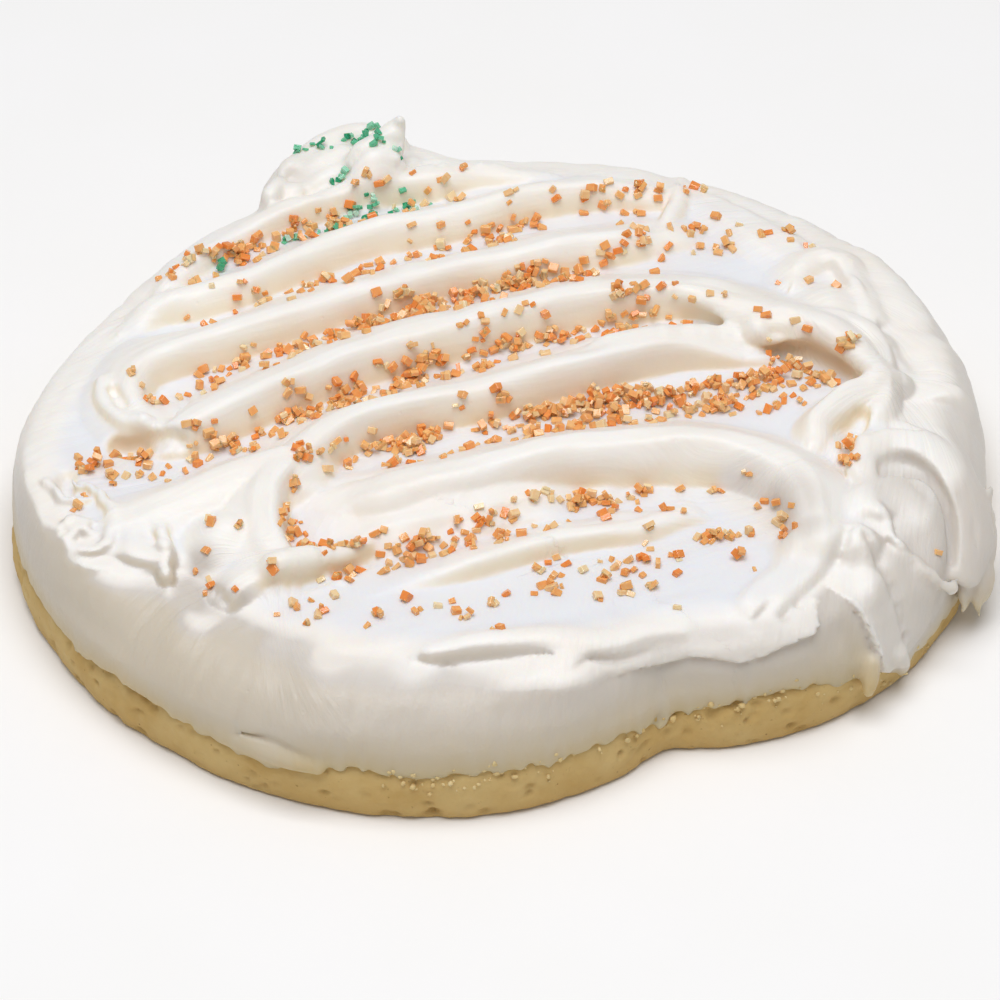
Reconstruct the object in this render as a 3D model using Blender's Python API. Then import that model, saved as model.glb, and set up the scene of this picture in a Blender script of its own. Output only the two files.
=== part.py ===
"""An iced sugar cookie, cut with a pumpkin cutter and spread thickly with icing by knife.

The cookie and the icing are one solid each. Heights are measured from the surface on which
the cookie rests, bearings are counter-clockwise from +X, and the pumpkin's stem points to +Y.
Sizes below are in millimetres, and MM turns them into Blender's metres.
"""

import math

import bmesh
import bpy
import numpy as np

MM = 0.001

# Outline of the cut dough: (bearing in degrees, reach from the centre).
# The groove at 271 degrees is the pumpkin's lower notch, and 72 to 104 degrees is its stem.
DOUGH_OUTLINE = (
    (0, 47.8), (12, 46.6), (24, 44.8), (42, 42.2), (63, 40.0), (72, 39.8), (78, 43.0), (84, 45.0),
    (95, 45.0), (100, 43.2), (104, 40.0), (114, 39.2), (133, 40.5), (152, 44.0), (171, 47.6),
    (190, 48.7), (210, 49.1), (230, 49.0), (247, 47.7), (257, 46.0), (265, 44.0), (271, 42.7),
    (277, 44.5), (287, 47.2), (300, 49.1), (315, 49.8), (338, 49.4),
)

# Side of the baked dough from its lower edge to its flat top: (offset from the outline, height).
DOUGH_SIDE = (
    (-1.0, 0.0), (-0.25, 0.5), (0.0, 1.8), (0.0, 3.6), (-0.35, 5.0), (-1.1, 6.0), (-2.4, 6.5),
)

# Inside of the icing's skirt, a hair's breadth outside the dough's shoulder.
SKIRT_INSIDE = ((0.35, 1.5), (0.35, 3.64), (-0.03, 5.15), (-0.88, 6.29), (-2.33, 6.85))
SKIRT_BEND_HEIGHT = 5.15
SKIRT_SHOULDER_HEIGHT = 6.29
SKIRT_THICKNESS = 0.5

# Edge of the icing by bearing: (bearing, how far its top edge is set in from the outline,
# height of its bank above the floor of the furrows, height at which its skirt ends).
ICING_EDGE = (
    (0, 8.0, 2.4, 3.4), (20, 4.6, 1.6, 5.2), (45, 2.8, 1.0, 6.0), (90, 2.8, 2.2, 6.0),
    (120, 3.2, 0.9, 6.0), (150, 3.4, 1.0, 6.0), (180, 3.6, 1.4, 6.0), (205, 4.6, 1.8, 6.0),
    (230, 7.4, 2.6, 6.0), (250, 7.4, 2.4, 6.0), (268, 3.8, 1.4, 6.0), (285, 3.0, 0.6, 6.0),
    (305, 5.0, 0.8, 5.6), (322, 7.8, 1.8, 3.2), (342, 9.4, 2.6, 2.4),
)
BANK_START = 0.74           # share of the reach at which the outer bank begins to rise
EDGE_ROLL = 1.2             # how far the top surface rounds down at its own edge
EDGE_ROLL_POWER = 12
WALL_FULLNESS = 0.86        # 1 gives an elliptical wall, less gives a fuller one

FURROW_FLOOR = 12.9
RIDGE_BLEND = 0.35          # radius with which ridges and floor run into each other

# Ridges that the knife left: crests as (x, y, height), each with its steep side on the right
# of its direction of travel.
RIDGES = {
    "back_rim": ((-27.1, 23.5, 13.4), (-23.9, 26.3, 15.0), (-18.5, 30.4, 15.0),
                 (-12.6, 32.4, 15.2), (-6.6, 33.5, 15.6)),
    "first": ((-30.1, 23.2, 14.2), (-20.6, 22.9, 16.0), (-10.3, 24.4, 16.0), (2.9, 25.4, 16.0),
              (13.8, 25.3, 16.0), (22.9, 23.9, 15.4), (30.0, 20.0, 14.0)),
    "second": ((-33.6, 8.0, 13.6), (-34.6, 12.0, 15.2), (-31.1, 14.4, 16.0), (-21.8, 14.8, 16.5),
               (-13.1, 15.6, 16.5), (2.9, 16.0, 16.5), (14.7, 14.9, 16.3), (28.4, 14.8, 14.0)),
    "third": ((-34.0, 4.8, 14.2), (-30.6, 2.8, 16.2), (-23.6, 3.8, 17.0), (-13.4, 6.5, 17.0),
              (-1.1, 6.8, 17.0), (13.9, 6.1, 17.0), (22.4, 3.4, 17.0), (28.4, -1.8, 17.0),
              (32.2, -8.0, 16.8), (33.0, -17.0, 16.0)),
    "fourth": ((-22.1, -17.8, 13.6), (-26.8, -15.6, 16.0), (-28.2, -11.0, 17.0),
               (-27.0, -7.0, 17.0), (-21.6, -3.6, 17.0), (-10.6, -2.2, 17.0), (1.4, -3.7, 17.0),
               (13.4, -3.8, 16.8), (24.9, -5.9, 14.6)),
    "fifth": ((-24.4, -12.9, 13.4), (-16.0, -14.2, 16.8), (-3.2, -14.8, 17.5),
              (5.9, -16.4, 17.5), (13.7, -19.2, 17.5), (19.0, -23.7, 17.2), (20.4, -29.0, 16.0),
              (17.9, -34.5, 14.4), (12.9, -38.5, 13.6)),
    "sixth": ((-19.1, -25.0, 13.4), (-7.6, -25.2, 14.6), (4.8, -26.5, 14.6),
              (12.0, -26.9, 13.4)),
}
STEEP_SIDE = 3.3            # width of a ridge's steep side
GENTLE_SIDE = 8.0           # width of a ridge's gentle side
RIDGE_SAMPLES = 12          # curve samples between two crest points

# Broad lumps of icing: (x, y, height of the top, radius).
LUMPS = (
    (-0.6, 36.8, 17.2, 9.5),
    (-30.1, -10.5, 16.6, 8.0),
    (34.4, 1.0, 15.8, 8.0),
)

# The curl that the knife drew up on the stem: (x, y, height, radius) from root to tip.
PEAK = (
    (3.4, 35.4, 14.4, 3.0), (4.2, 36.2, 16.4, 2.4), (5.2, 37.2, 17.8, 1.5),
    (6.2, 37.8, 18.8, 0.9), (6.4, 37.4, 19.6, 0.4),
)
PEAK_SIDES = 12

# Numbers of cells. The ridges run along X, so the grid is finer along Y.
TOP_CELLS_X = 46
TOP_CELLS_Y = 58
WALL_ROWS = 3
DOUGH_COLUMNS = 72

COOKIE_COLOUR = (0.47, 0.30, 0.11)
ICING_COLOUR = (0.86, 0.83, 0.79)


def smooth_step(value):
    """Ease from 0 to 1 while value goes from 0 to 1."""
    clamped = np.clip(value, 0.0, 1.0)
    return clamped * clamped * (3.0 - 2.0 * clamped)


def smooth_maximum(first, second, radius):
    """Larger of two heights, blended where they are within radius of each other."""
    gap = np.clip(radius - np.abs(first - second), 0.0, None)
    return np.maximum(first, second) + gap * gap / (4.0 * radius)


def hermite(knots, values, places):
    """Smooth curve through (knots, values), read at places. Values may have several columns."""
    slopes = np.gradient(values, knots, axis=0)
    index = np.clip(np.searchsorted(knots, places, side="right") - 1, 0, len(knots) - 2)
    span = knots[index + 1] - knots[index]
    share = (places - knots[index]) / span
    if values.ndim > 1:
        span = span[:, None]
        share = share[:, None]
    start = values[index] * (1 + 2 * share) * (1 - share) ** 2
    start = start + slopes[index] * span * share * (1 - share) ** 2
    end = values[index + 1] * share ** 2 * (3 - 2 * share)
    return start + end + slopes[index + 1] * span * share ** 2 * (share - 1)


def by_bearing(table, bearings):
    """Read a table of (bearing, value, ...) rows at any bearings, smoothly round the turn."""
    rows = np.array(table, dtype=float)
    rows = rows[np.argsort(rows[:, 0])]
    turn = np.zeros_like(rows)
    turn[:, 0] = 360.0
    looped = np.concatenate((rows - turn, rows, rows + turn))
    return hermite(looped[:, 0], looped[:, 1:], np.mod(bearings, 360.0))


def dough_reach(bearings):
    """Reach of the dough's outline from the centre, at bearings in degrees."""
    return by_bearing(DOUGH_OUTLINE, bearings)[:, 0]


def crest_curve(points):
    """Sample a smooth curve through a ridge's crest points."""
    points = np.array(points)
    knots = np.arange(len(points), dtype=float)
    places = np.linspace(0.0, len(points) - 1.0, (len(points) - 1) * RIDGE_SAMPLES + 1)
    return hermite(knots, points, places)


def ridge_height(x, y, crest):
    """Height of one ridge's surface over the points (x, y)."""
    curve = crest_curve(crest)
    heading = np.gradient(curve[:, :2], axis=0)
    heading /= np.linalg.norm(heading, axis=1)[:, None]
    away_x = x[:, None] - curve[None, :, 0]
    away_y = y[:, None] - curve[None, :, 1]
    distances = np.hypot(away_x, away_y)
    nearest = np.argmin(distances, axis=1)
    row = np.arange(len(x))
    distance = distances[row, nearest]
    across = heading[nearest, 0] * away_y[row, nearest]
    across = across - heading[nearest, 1] * away_x[row, nearest]
    side = across / np.maximum(distance, 1e-6)
    width = STEEP_SIDE + (GENTLE_SIDE - STEEP_SIDE) * (0.5 + 0.5 * side)
    lift = curve[nearest, 2] - FURROW_FLOOR
    return FURROW_FLOOR + lift * (1.0 - smooth_step(distance / width))


def icing_height(x, y, share, bearings):
    """Height of the icing's top surface.

    share is how far out each point lies, from 0 at the centre to 1 at the surface's edge.
    """
    bank = by_bearing(ICING_EDGE, bearings)[:, 1]
    height = FURROW_FLOOR + bank * smooth_step((share - BANK_START) / (1.0 - BANK_START))
    for crest in RIDGES.values():
        height = smooth_maximum(height, ridge_height(x, y, crest), RIDGE_BLEND)
    for lump_x, lump_y, top, radius in LUMPS:
        distance = np.hypot(x - lump_x, y - lump_y)
        lump = FURROW_FLOOR + (top - FURROW_FLOOR) * (1.0 - smooth_step(distance / radius))
        height = smooth_maximum(height, lump, RIDGE_BLEND)
    return height - EDGE_ROLL * share ** EDGE_ROLL_POWER


def disc_grid(cells_x, cells_y):
    """Spread a square grid over a disc: shares of the reach and bearings, row by row."""
    u = np.linspace(-1.0, 1.0, cells_x + 1)
    v = np.linspace(-1.0, 1.0, cells_y + 1)
    u, v = np.meshgrid(u, v)
    x = u * np.sqrt(1.0 - v * v / 2.0)
    y = v * np.sqrt(1.0 - u * u / 2.0)
    return np.hypot(x, y).ravel(), np.degrees(np.arctan2(y, x)).ravel()


def grid_border(cells_x, cells_y):
    """Indices of the grid's border points, counter-clockwise."""
    wide = cells_x + 1
    bottom = [column for column in range(cells_x)]
    right = [row * wide + cells_x for row in range(cells_y)]
    top = [cells_y * wide + column for column in range(cells_x, 0, -1)]
    left = [row * wide for row in range(cells_y, 0, -1)]
    return bottom + right + top + left


def polar_points(reach, bearings, heights):
    """Points at a reach, bearing and height, as rows of x, y and z in millimetres."""
    angles = np.radians(bearings)
    heights = np.broadcast_to(heights, angles.shape)
    return np.stack((reach * np.cos(angles), reach * np.sin(angles), heights), axis=1)


def icing_rings(bearings, edge_reach, edge_height):
    """Rings below the icing's top: down its wall, round its skirt and back under it."""
    outline = dough_reach(bearings)
    foot = by_bearing(ICING_EDGE, bearings)[:, 2]
    skirt = np.array(SKIRT_INSIDE)

    def inside(height):
        return np.interp(height, skirt[:, 1], skirt[:, 0])

    foot_reach = outline + inside(foot) + SKIRT_THICKNESS
    rings = []
    for row in range(1, WALL_ROWS + 1):
        angle = math.pi / 2 * row / WALL_ROWS
        out = math.sin(angle) ** WALL_FULLNESS
        up = max(math.cos(angle), 0.0) ** WALL_FULLNESS
        reach = edge_reach + (foot_reach - edge_reach) * out
        rings.append(polar_points(reach, bearings, foot + (edge_height - foot) * up))
    bend = np.maximum(foot + 0.05, SKIRT_BEND_HEIGHT)
    shoulder = np.full_like(foot, SKIRT_SHOULDER_HEIGHT)
    for height in (foot, bend, shoulder):
        rings.append(polar_points(outline + inside(height), bearings, height))
    rings.append(polar_points(outline + SKIRT_INSIDE[-1][0], bearings, SKIRT_INSIDE[-1][1]))
    return rings


def bridge(mesh, upper, lower):
    """Join two rings of vertices, both counter-clockwise, with outward faces."""
    count = len(upper)
    for index in range(count):
        following = (index + 1) % count
        mesh.faces.new((upper[index], lower[index], lower[following], upper[following]))


def add_ring(mesh, points):
    """Add a ring of points in millimetres and return its vertices."""
    return [mesh.verts.new(point * MM) for point in points]


def add_cell(mesh, corners):
    """Fill a four-cornered cell with two triangles, split along its more level diagonal."""
    first_drop = abs(corners[0].co.z - corners[2].co.z)
    second_drop = abs(corners[1].co.z - corners[3].co.z)
    if first_drop > second_drop:
        corners = corners[1:] + corners[:1]
    mesh.faces.new(corners[:3])
    mesh.faces.new((corners[2], corners[3], corners[0]))


def finish_object(name, mesh, colour, roughness):
    """Turn a bmesh into a named, smooth-shaded object with its own material."""
    bmesh.ops.recalc_face_normals(mesh, faces=mesh.faces)
    data = bpy.data.meshes.new(name)
    mesh.to_mesh(data)
    mesh.free()
    data.shade_smooth()
    item = bpy.data.objects.new(name, data)
    bpy.context.collection.objects.link(item)
    material = bpy.data.materials.new(name + "_material")
    material.use_nodes = True
    shader = material.node_tree.nodes["Principled BSDF"]
    shader.inputs["Base Color"].default_value = (*colour, 1.0)
    shader.inputs["Roughness"].default_value = roughness
    shader.inputs["Metallic"].default_value = 0.0
    data.materials.append(material)
    return item


def build_cookie():
    """The baked dough: a flat underside, a bulging side and a rounded shoulder."""
    bearings = np.arange(DOUGH_COLUMNS) * 360.0 / DOUGH_COLUMNS
    outline = dough_reach(bearings)
    mesh = bmesh.new()
    rings = [
        add_ring(mesh, polar_points(outline + offset, bearings, height))
        for offset, height in reversed(DOUGH_SIDE)
    ]
    for upper, lower in zip(rings, rings[1:]):
        bridge(mesh, upper, lower)
    mesh.faces.new(rings[0])
    mesh.faces.new(reversed(rings[-1]))
    return finish_object("cookie", mesh, COOKIE_COLOUR, 0.85)


def build_peak():
    """The small curl on the stem, a bent cone that is joined to the icing."""
    angles = np.arange(PEAK_SIDES) * 360.0 / PEAK_SIDES
    mesh = bmesh.new()
    rings = []
    for x, y, height, radius in reversed(PEAK):
        centre = np.array((x, y, 0.0))
        rings.append(add_ring(mesh, polar_points(radius, angles, height) + centre))
    for upper, lower in zip(rings, rings[1:]):
        bridge(mesh, upper, lower)
    mesh.faces.new(rings[0])
    mesh.faces.new(reversed(rings[-1]))
    peak = finish_object("icing_peak", mesh, ICING_COLOUR, 0.45)
    peak.hide_render = True
    peak.display_type = "WIRE"
    return peak


def build_icing():
    """The icing: furrowed top, wall and skirt in one closed solid, with the stem's curl."""
    share, bearings = disc_grid(TOP_CELLS_X, TOP_CELLS_Y)
    edge = dough_reach(bearings) - by_bearing(ICING_EDGE, bearings)[:, 0]
    round_edge = edge.mean()
    reach = share * (round_edge + (edge - round_edge) * share ** 3)
    points = polar_points(reach, bearings, 0.0)
    points[:, 2] = icing_height(points[:, 0], points[:, 1], share, bearings)

    mesh = bmesh.new()
    top = add_ring(mesh, points)
    wide = TOP_CELLS_X + 1
    for row in range(TOP_CELLS_Y):
        for column in range(TOP_CELLS_X):
            corner = row * wide + column
            add_cell(mesh, [top[corner + step] for step in (0, 1, wide + 1, wide)])
    border = grid_border(TOP_CELLS_X, TOP_CELLS_Y)
    rings = [[top[index] for index in border]]
    for ring in icing_rings(bearings[border], reach[border], points[border, 2]):
        rings.append(add_ring(mesh, ring))
    for upper, lower in zip(rings, rings[1:]):
        bridge(mesh, upper, lower)
    mesh.faces.new(reversed(rings[-1]))
    icing = finish_object("icing", mesh, ICING_COLOUR, 0.45)

    union = icing.modifiers.new("Curl", "BOOLEAN")
    union.operation = "UNION"
    union.solver = "EXACT"
    union.object = build_peak()
    return icing


def clear_scene():
    """Remove the objects that the file holds already."""
    for item in list(bpy.data.objects):
        bpy.data.objects.remove(item, do_unlink=True)


def main():
    """Build the cookie and its icing under one empty."""
    clear_scene()
    root = bpy.data.objects.new("iced_sugar_cookie", None)
    bpy.context.collection.objects.link(root)
    for item in (build_cookie(), build_icing()):
        item.parent = root


main()
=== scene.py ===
"""An iced sugar cookie: a pumpkin-cutter biscuit under knife-spread buttercream and sanding sugar.

Sizes are in millimetres until a mesh is made, and MM turns them into metres. Bearings run
counter-clockwise from +X, the pumpkin's stem points to +Y, and heights start at the underside.
"""

import itertools
import logging
import math
from dataclasses import dataclass
from enum import Enum

import bmesh
import bpy
import numpy as np
from mathutils import Euler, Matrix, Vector
from mathutils.bvhtree import BVHTree


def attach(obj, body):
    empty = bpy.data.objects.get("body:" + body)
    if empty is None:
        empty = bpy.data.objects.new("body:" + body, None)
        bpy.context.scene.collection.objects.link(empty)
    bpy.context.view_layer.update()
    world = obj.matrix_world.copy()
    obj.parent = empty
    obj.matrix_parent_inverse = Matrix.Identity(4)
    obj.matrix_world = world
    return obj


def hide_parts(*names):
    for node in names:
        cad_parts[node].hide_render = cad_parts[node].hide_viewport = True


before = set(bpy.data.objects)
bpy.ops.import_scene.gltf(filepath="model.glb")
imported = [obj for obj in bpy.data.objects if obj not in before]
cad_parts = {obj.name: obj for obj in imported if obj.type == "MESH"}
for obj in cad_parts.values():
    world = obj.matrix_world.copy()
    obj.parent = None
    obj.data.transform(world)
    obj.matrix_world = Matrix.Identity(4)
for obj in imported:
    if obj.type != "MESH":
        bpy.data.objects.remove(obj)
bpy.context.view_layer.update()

LOG = logging.getLogger("cookie")
MM = 0.001


# ---------------------------------------------------------------- curves and variation

def smooth_step(value: np.ndarray) -> np.ndarray:
    """Ease from 0 to 1 while value goes from 0 to 1."""
    clamped = np.clip(value, 0.0, 1.0)
    return clamped * clamped * (3.0 - 2.0 * clamped)


def smooth_maximum(first: np.ndarray, second: np.ndarray, radius: float) -> np.ndarray:
    """Larger of two fields, blended where they are within radius of each other."""
    gap = np.clip(radius - np.abs(first - second), 0.0, None)
    return np.maximum(first, second) + gap * gap / (4.0 * radius)


def smooth_minimum(first: np.ndarray, second: np.ndarray, radius: float) -> np.ndarray:
    """Smaller of two fields, blended where they are within radius of each other."""
    return -smooth_maximum(-first, -second, radius)


def hermite(knots: np.ndarray, values: np.ndarray, places: np.ndarray) -> np.ndarray:
    """Read a smooth curve through knots at any places.

    Args:
        knots: rising parameters of the known points.
        values: one row of values for each knot.
        places: parameters at which to read the curve.

    Returns:
        One row of values for each place.
    """
    slopes = np.gradient(values, knots, axis=0)
    index = np.clip(np.searchsorted(knots, places, side="right") - 1, 0, len(knots) - 2)
    span = (knots[index + 1] - knots[index])[:, None]
    share = (places - knots[index])[:, None] / span
    curve = values[index] * (1 + 2 * share) * (1 - share) ** 2
    curve = curve + slopes[index] * span * share * (1 - share) ** 2
    curve = curve + values[index + 1] * share ** 2 * (3 - 2 * share)
    return curve + slopes[index + 1] * span * share ** 2 * (share - 1)


def by_bearing(table: tuple, bearings: np.ndarray) -> np.ndarray:
    """Read a table of (bearing, value, ...) rows all the way round.

    Args:
        table: rows that start with a bearing in degrees.
        bearings: bearings to read at, of any shape.

    Returns:
        The values, with the shape of bearings and one more axis.
    """
    rows = np.array(table, dtype=float)
    rows = rows[np.argsort(rows[:, 0])]
    turn = np.zeros_like(rows)
    turn[:, 0] = 360.0
    looped = np.concatenate((rows - turn, rows, rows + turn))
    flat = hermite(looped[:, 0], looped[:, 1:], np.mod(np.ravel(bearings), 360.0))
    return flat.reshape(*np.shape(bearings), flat.shape[1])


def sample_curve(points: tuple, per_span: int) -> np.ndarray:
    """Sample a smooth curve through points, per_span samples for each stretch."""
    values = np.array(points, dtype=float)
    knots = np.arange(len(values), dtype=float)
    places = np.linspace(0.0, len(values) - 1.0, (len(values) - 1) * per_span + 1)
    return hermite(knots, values, places)


def variation(points: np.ndarray, scale: tuple | float, seed: int) -> np.ndarray:
    """Smooth random variation between about -1 and 1.

    Args:
        points: rows of coordinates, in any number of dimensions.
        scale: size of one swelling, for all dimensions or one for each.
        seed: picks the pattern.

    Returns:
        One value for each row.
    """
    size = 61
    cells = points / np.asarray(scale, dtype=float)
    low = np.floor(cells).astype(np.int64)
    share = cells - low
    share = share * share * (3.0 - 2.0 * share)
    dimensions = points.shape[-1]
    lattice = np.random.default_rng(seed).uniform(-1.0, 1.0, (size,) * dimensions)
    total = np.zeros(points.shape[:-1])
    for corner in itertools.product((0, 1), repeat=dimensions):
        weight = np.ones(points.shape[:-1])
        for axis, step in enumerate(corner):
            weight = weight * (share[..., axis] if step else 1.0 - share[..., axis])
        place = tuple((low[..., axis] + corner[axis]) % size for axis in range(dimensions))
        total += lattice[place] * weight
    return total


@dataclass(frozen=True)
class NearestOnCurve:
    """Where points lie beside a sampled plan curve."""

    across: np.ndarray      # signed distance, positive to the left of the direction of travel
    beyond: np.ndarray      # distance past either end
    along: np.ndarray       # length travelled
    values: np.ndarray      # the curve's further values at the nearest sample


def nearest_on_curve(x: np.ndarray, y: np.ndarray, curve: np.ndarray) -> NearestOnCurve:
    """Find the nearest place on a curve for each plan point.

    Args:
        x: first coordinates.
        y: second coordinates.
        curve: sampled points, the first two columns being their place.

    Returns:
        Distances and the values there.
    """
    heading = np.gradient(curve[:, :2], axis=0)
    heading /= np.linalg.norm(heading, axis=1)[:, None] + 1e-12
    steps = np.linalg.norm(np.diff(curve[:, :2], axis=0), axis=1)
    travelled = np.concatenate(([0.0], np.cumsum(steps)))
    nearest = np.zeros(x.shape, dtype=np.int64)
    best = np.full(x.shape, np.inf)
    for index, point in enumerate(curve):
        distance = (x - point[0]) ** 2 + (y - point[1]) ** 2
        closer = distance < best
        best[closer] = distance[closer]
        nearest[closer] = index
    away_x = x - curve[nearest, 0]
    away_y = y - curve[nearest, 1]
    across = heading[nearest, 0] * away_y - heading[nearest, 1] * away_x
    forward = heading[nearest, 0] * away_x + heading[nearest, 1] * away_y
    at_end = (nearest == 0) & (forward < 0) | (nearest == len(curve) - 1) & (forward > 0)
    beyond = np.where(at_end, np.abs(forward), 0.0)
    return NearestOnCurve(across, beyond, travelled[nearest] + forward, curve[nearest, 2:])


# ---------------------------------------------------------------- sizes of the cookie

DOUGH_OUTLINE = (
    (0, 47.8), (12, 46.6), (24, 44.8), (42, 42.2), (63, 40.0), (72, 39.8), (78, 43.0), (84, 45.0),
    (95, 45.0), (100, 43.2), (104, 40.0), (114, 39.2), (133, 40.5), (152, 44.0), (171, 47.6),
    (190, 48.7), (210, 49.1), (230, 49.0), (247, 47.7), (257, 46.0), (265, 44.0), (271, 42.7),
    (277, 44.5), (287, 47.2), (300, 49.1), (315, 49.8), (338, 49.4),
)


def dough_reach(bearings: np.ndarray) -> np.ndarray:
    """Reach of the dough's outline from the centre, at bearings in degrees."""
    return by_bearing(DOUGH_OUTLINE, bearings)[..., 0]


# Above 1 the crest stays broad and the steep side falls late.
STEEP_ROUNDNESS = 1.7


@dataclass(frozen=True)
class Ridge:
    """A ridge that the knife left, steep on the right of its direction and gentle on the left."""

    crest: tuple                # (x, y, height) along its crest
    steep: float = 2.7          # width of the steep side
    gentle: float = 8.4         # width of the gentle side

    def height(self, x: np.ndarray, y: np.ndarray, floor: float, seed: int) -> np.ndarray:
        """Height of the ridge's surface over plan points, with the knife's drag lines along it.

        Args:
            x: first coordinates.
            y: second coordinates.
            floor: height of the furrows' floor.
            seed: picks the drag lines.

        Returns:
            The height over each point, sunk below the floor away from the ridge.
        """
        place = nearest_on_curve(x, y, sample_curve(self.crest, 16))
        side = np.hypot(place.across, place.beyond)
        turn = 0.5 + 0.5 * place.across / np.maximum(side, 1e-6)
        width = self.steep + (self.gentle - self.steep) * turn
        lift = np.maximum(place.values[..., 0] - floor, 0.0)
        share = np.clip(side / width, 0.0, 1.0)
        drop = smooth_step(share ** np.where(place.across > 0, 0.85, STEEP_ROUNDNESS))
        stroke = np.stack((place.along, place.across), axis=-1) + 200.0
        drag = variation(stroke, (16.0, 0.9), seed) * 0.16
        drag += variation(stroke, (9.0, 2.0), seed + 1) * 0.18
        nicks = variation(stroke, (3.2, 3.2), seed + 2) * 0.22 * (1.0 - drop)
        sunk = 1.5 * smooth_step(side / width - 1.0)
        return floor + lift * (1.0 - drop) + drag + nicks - sunk


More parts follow.
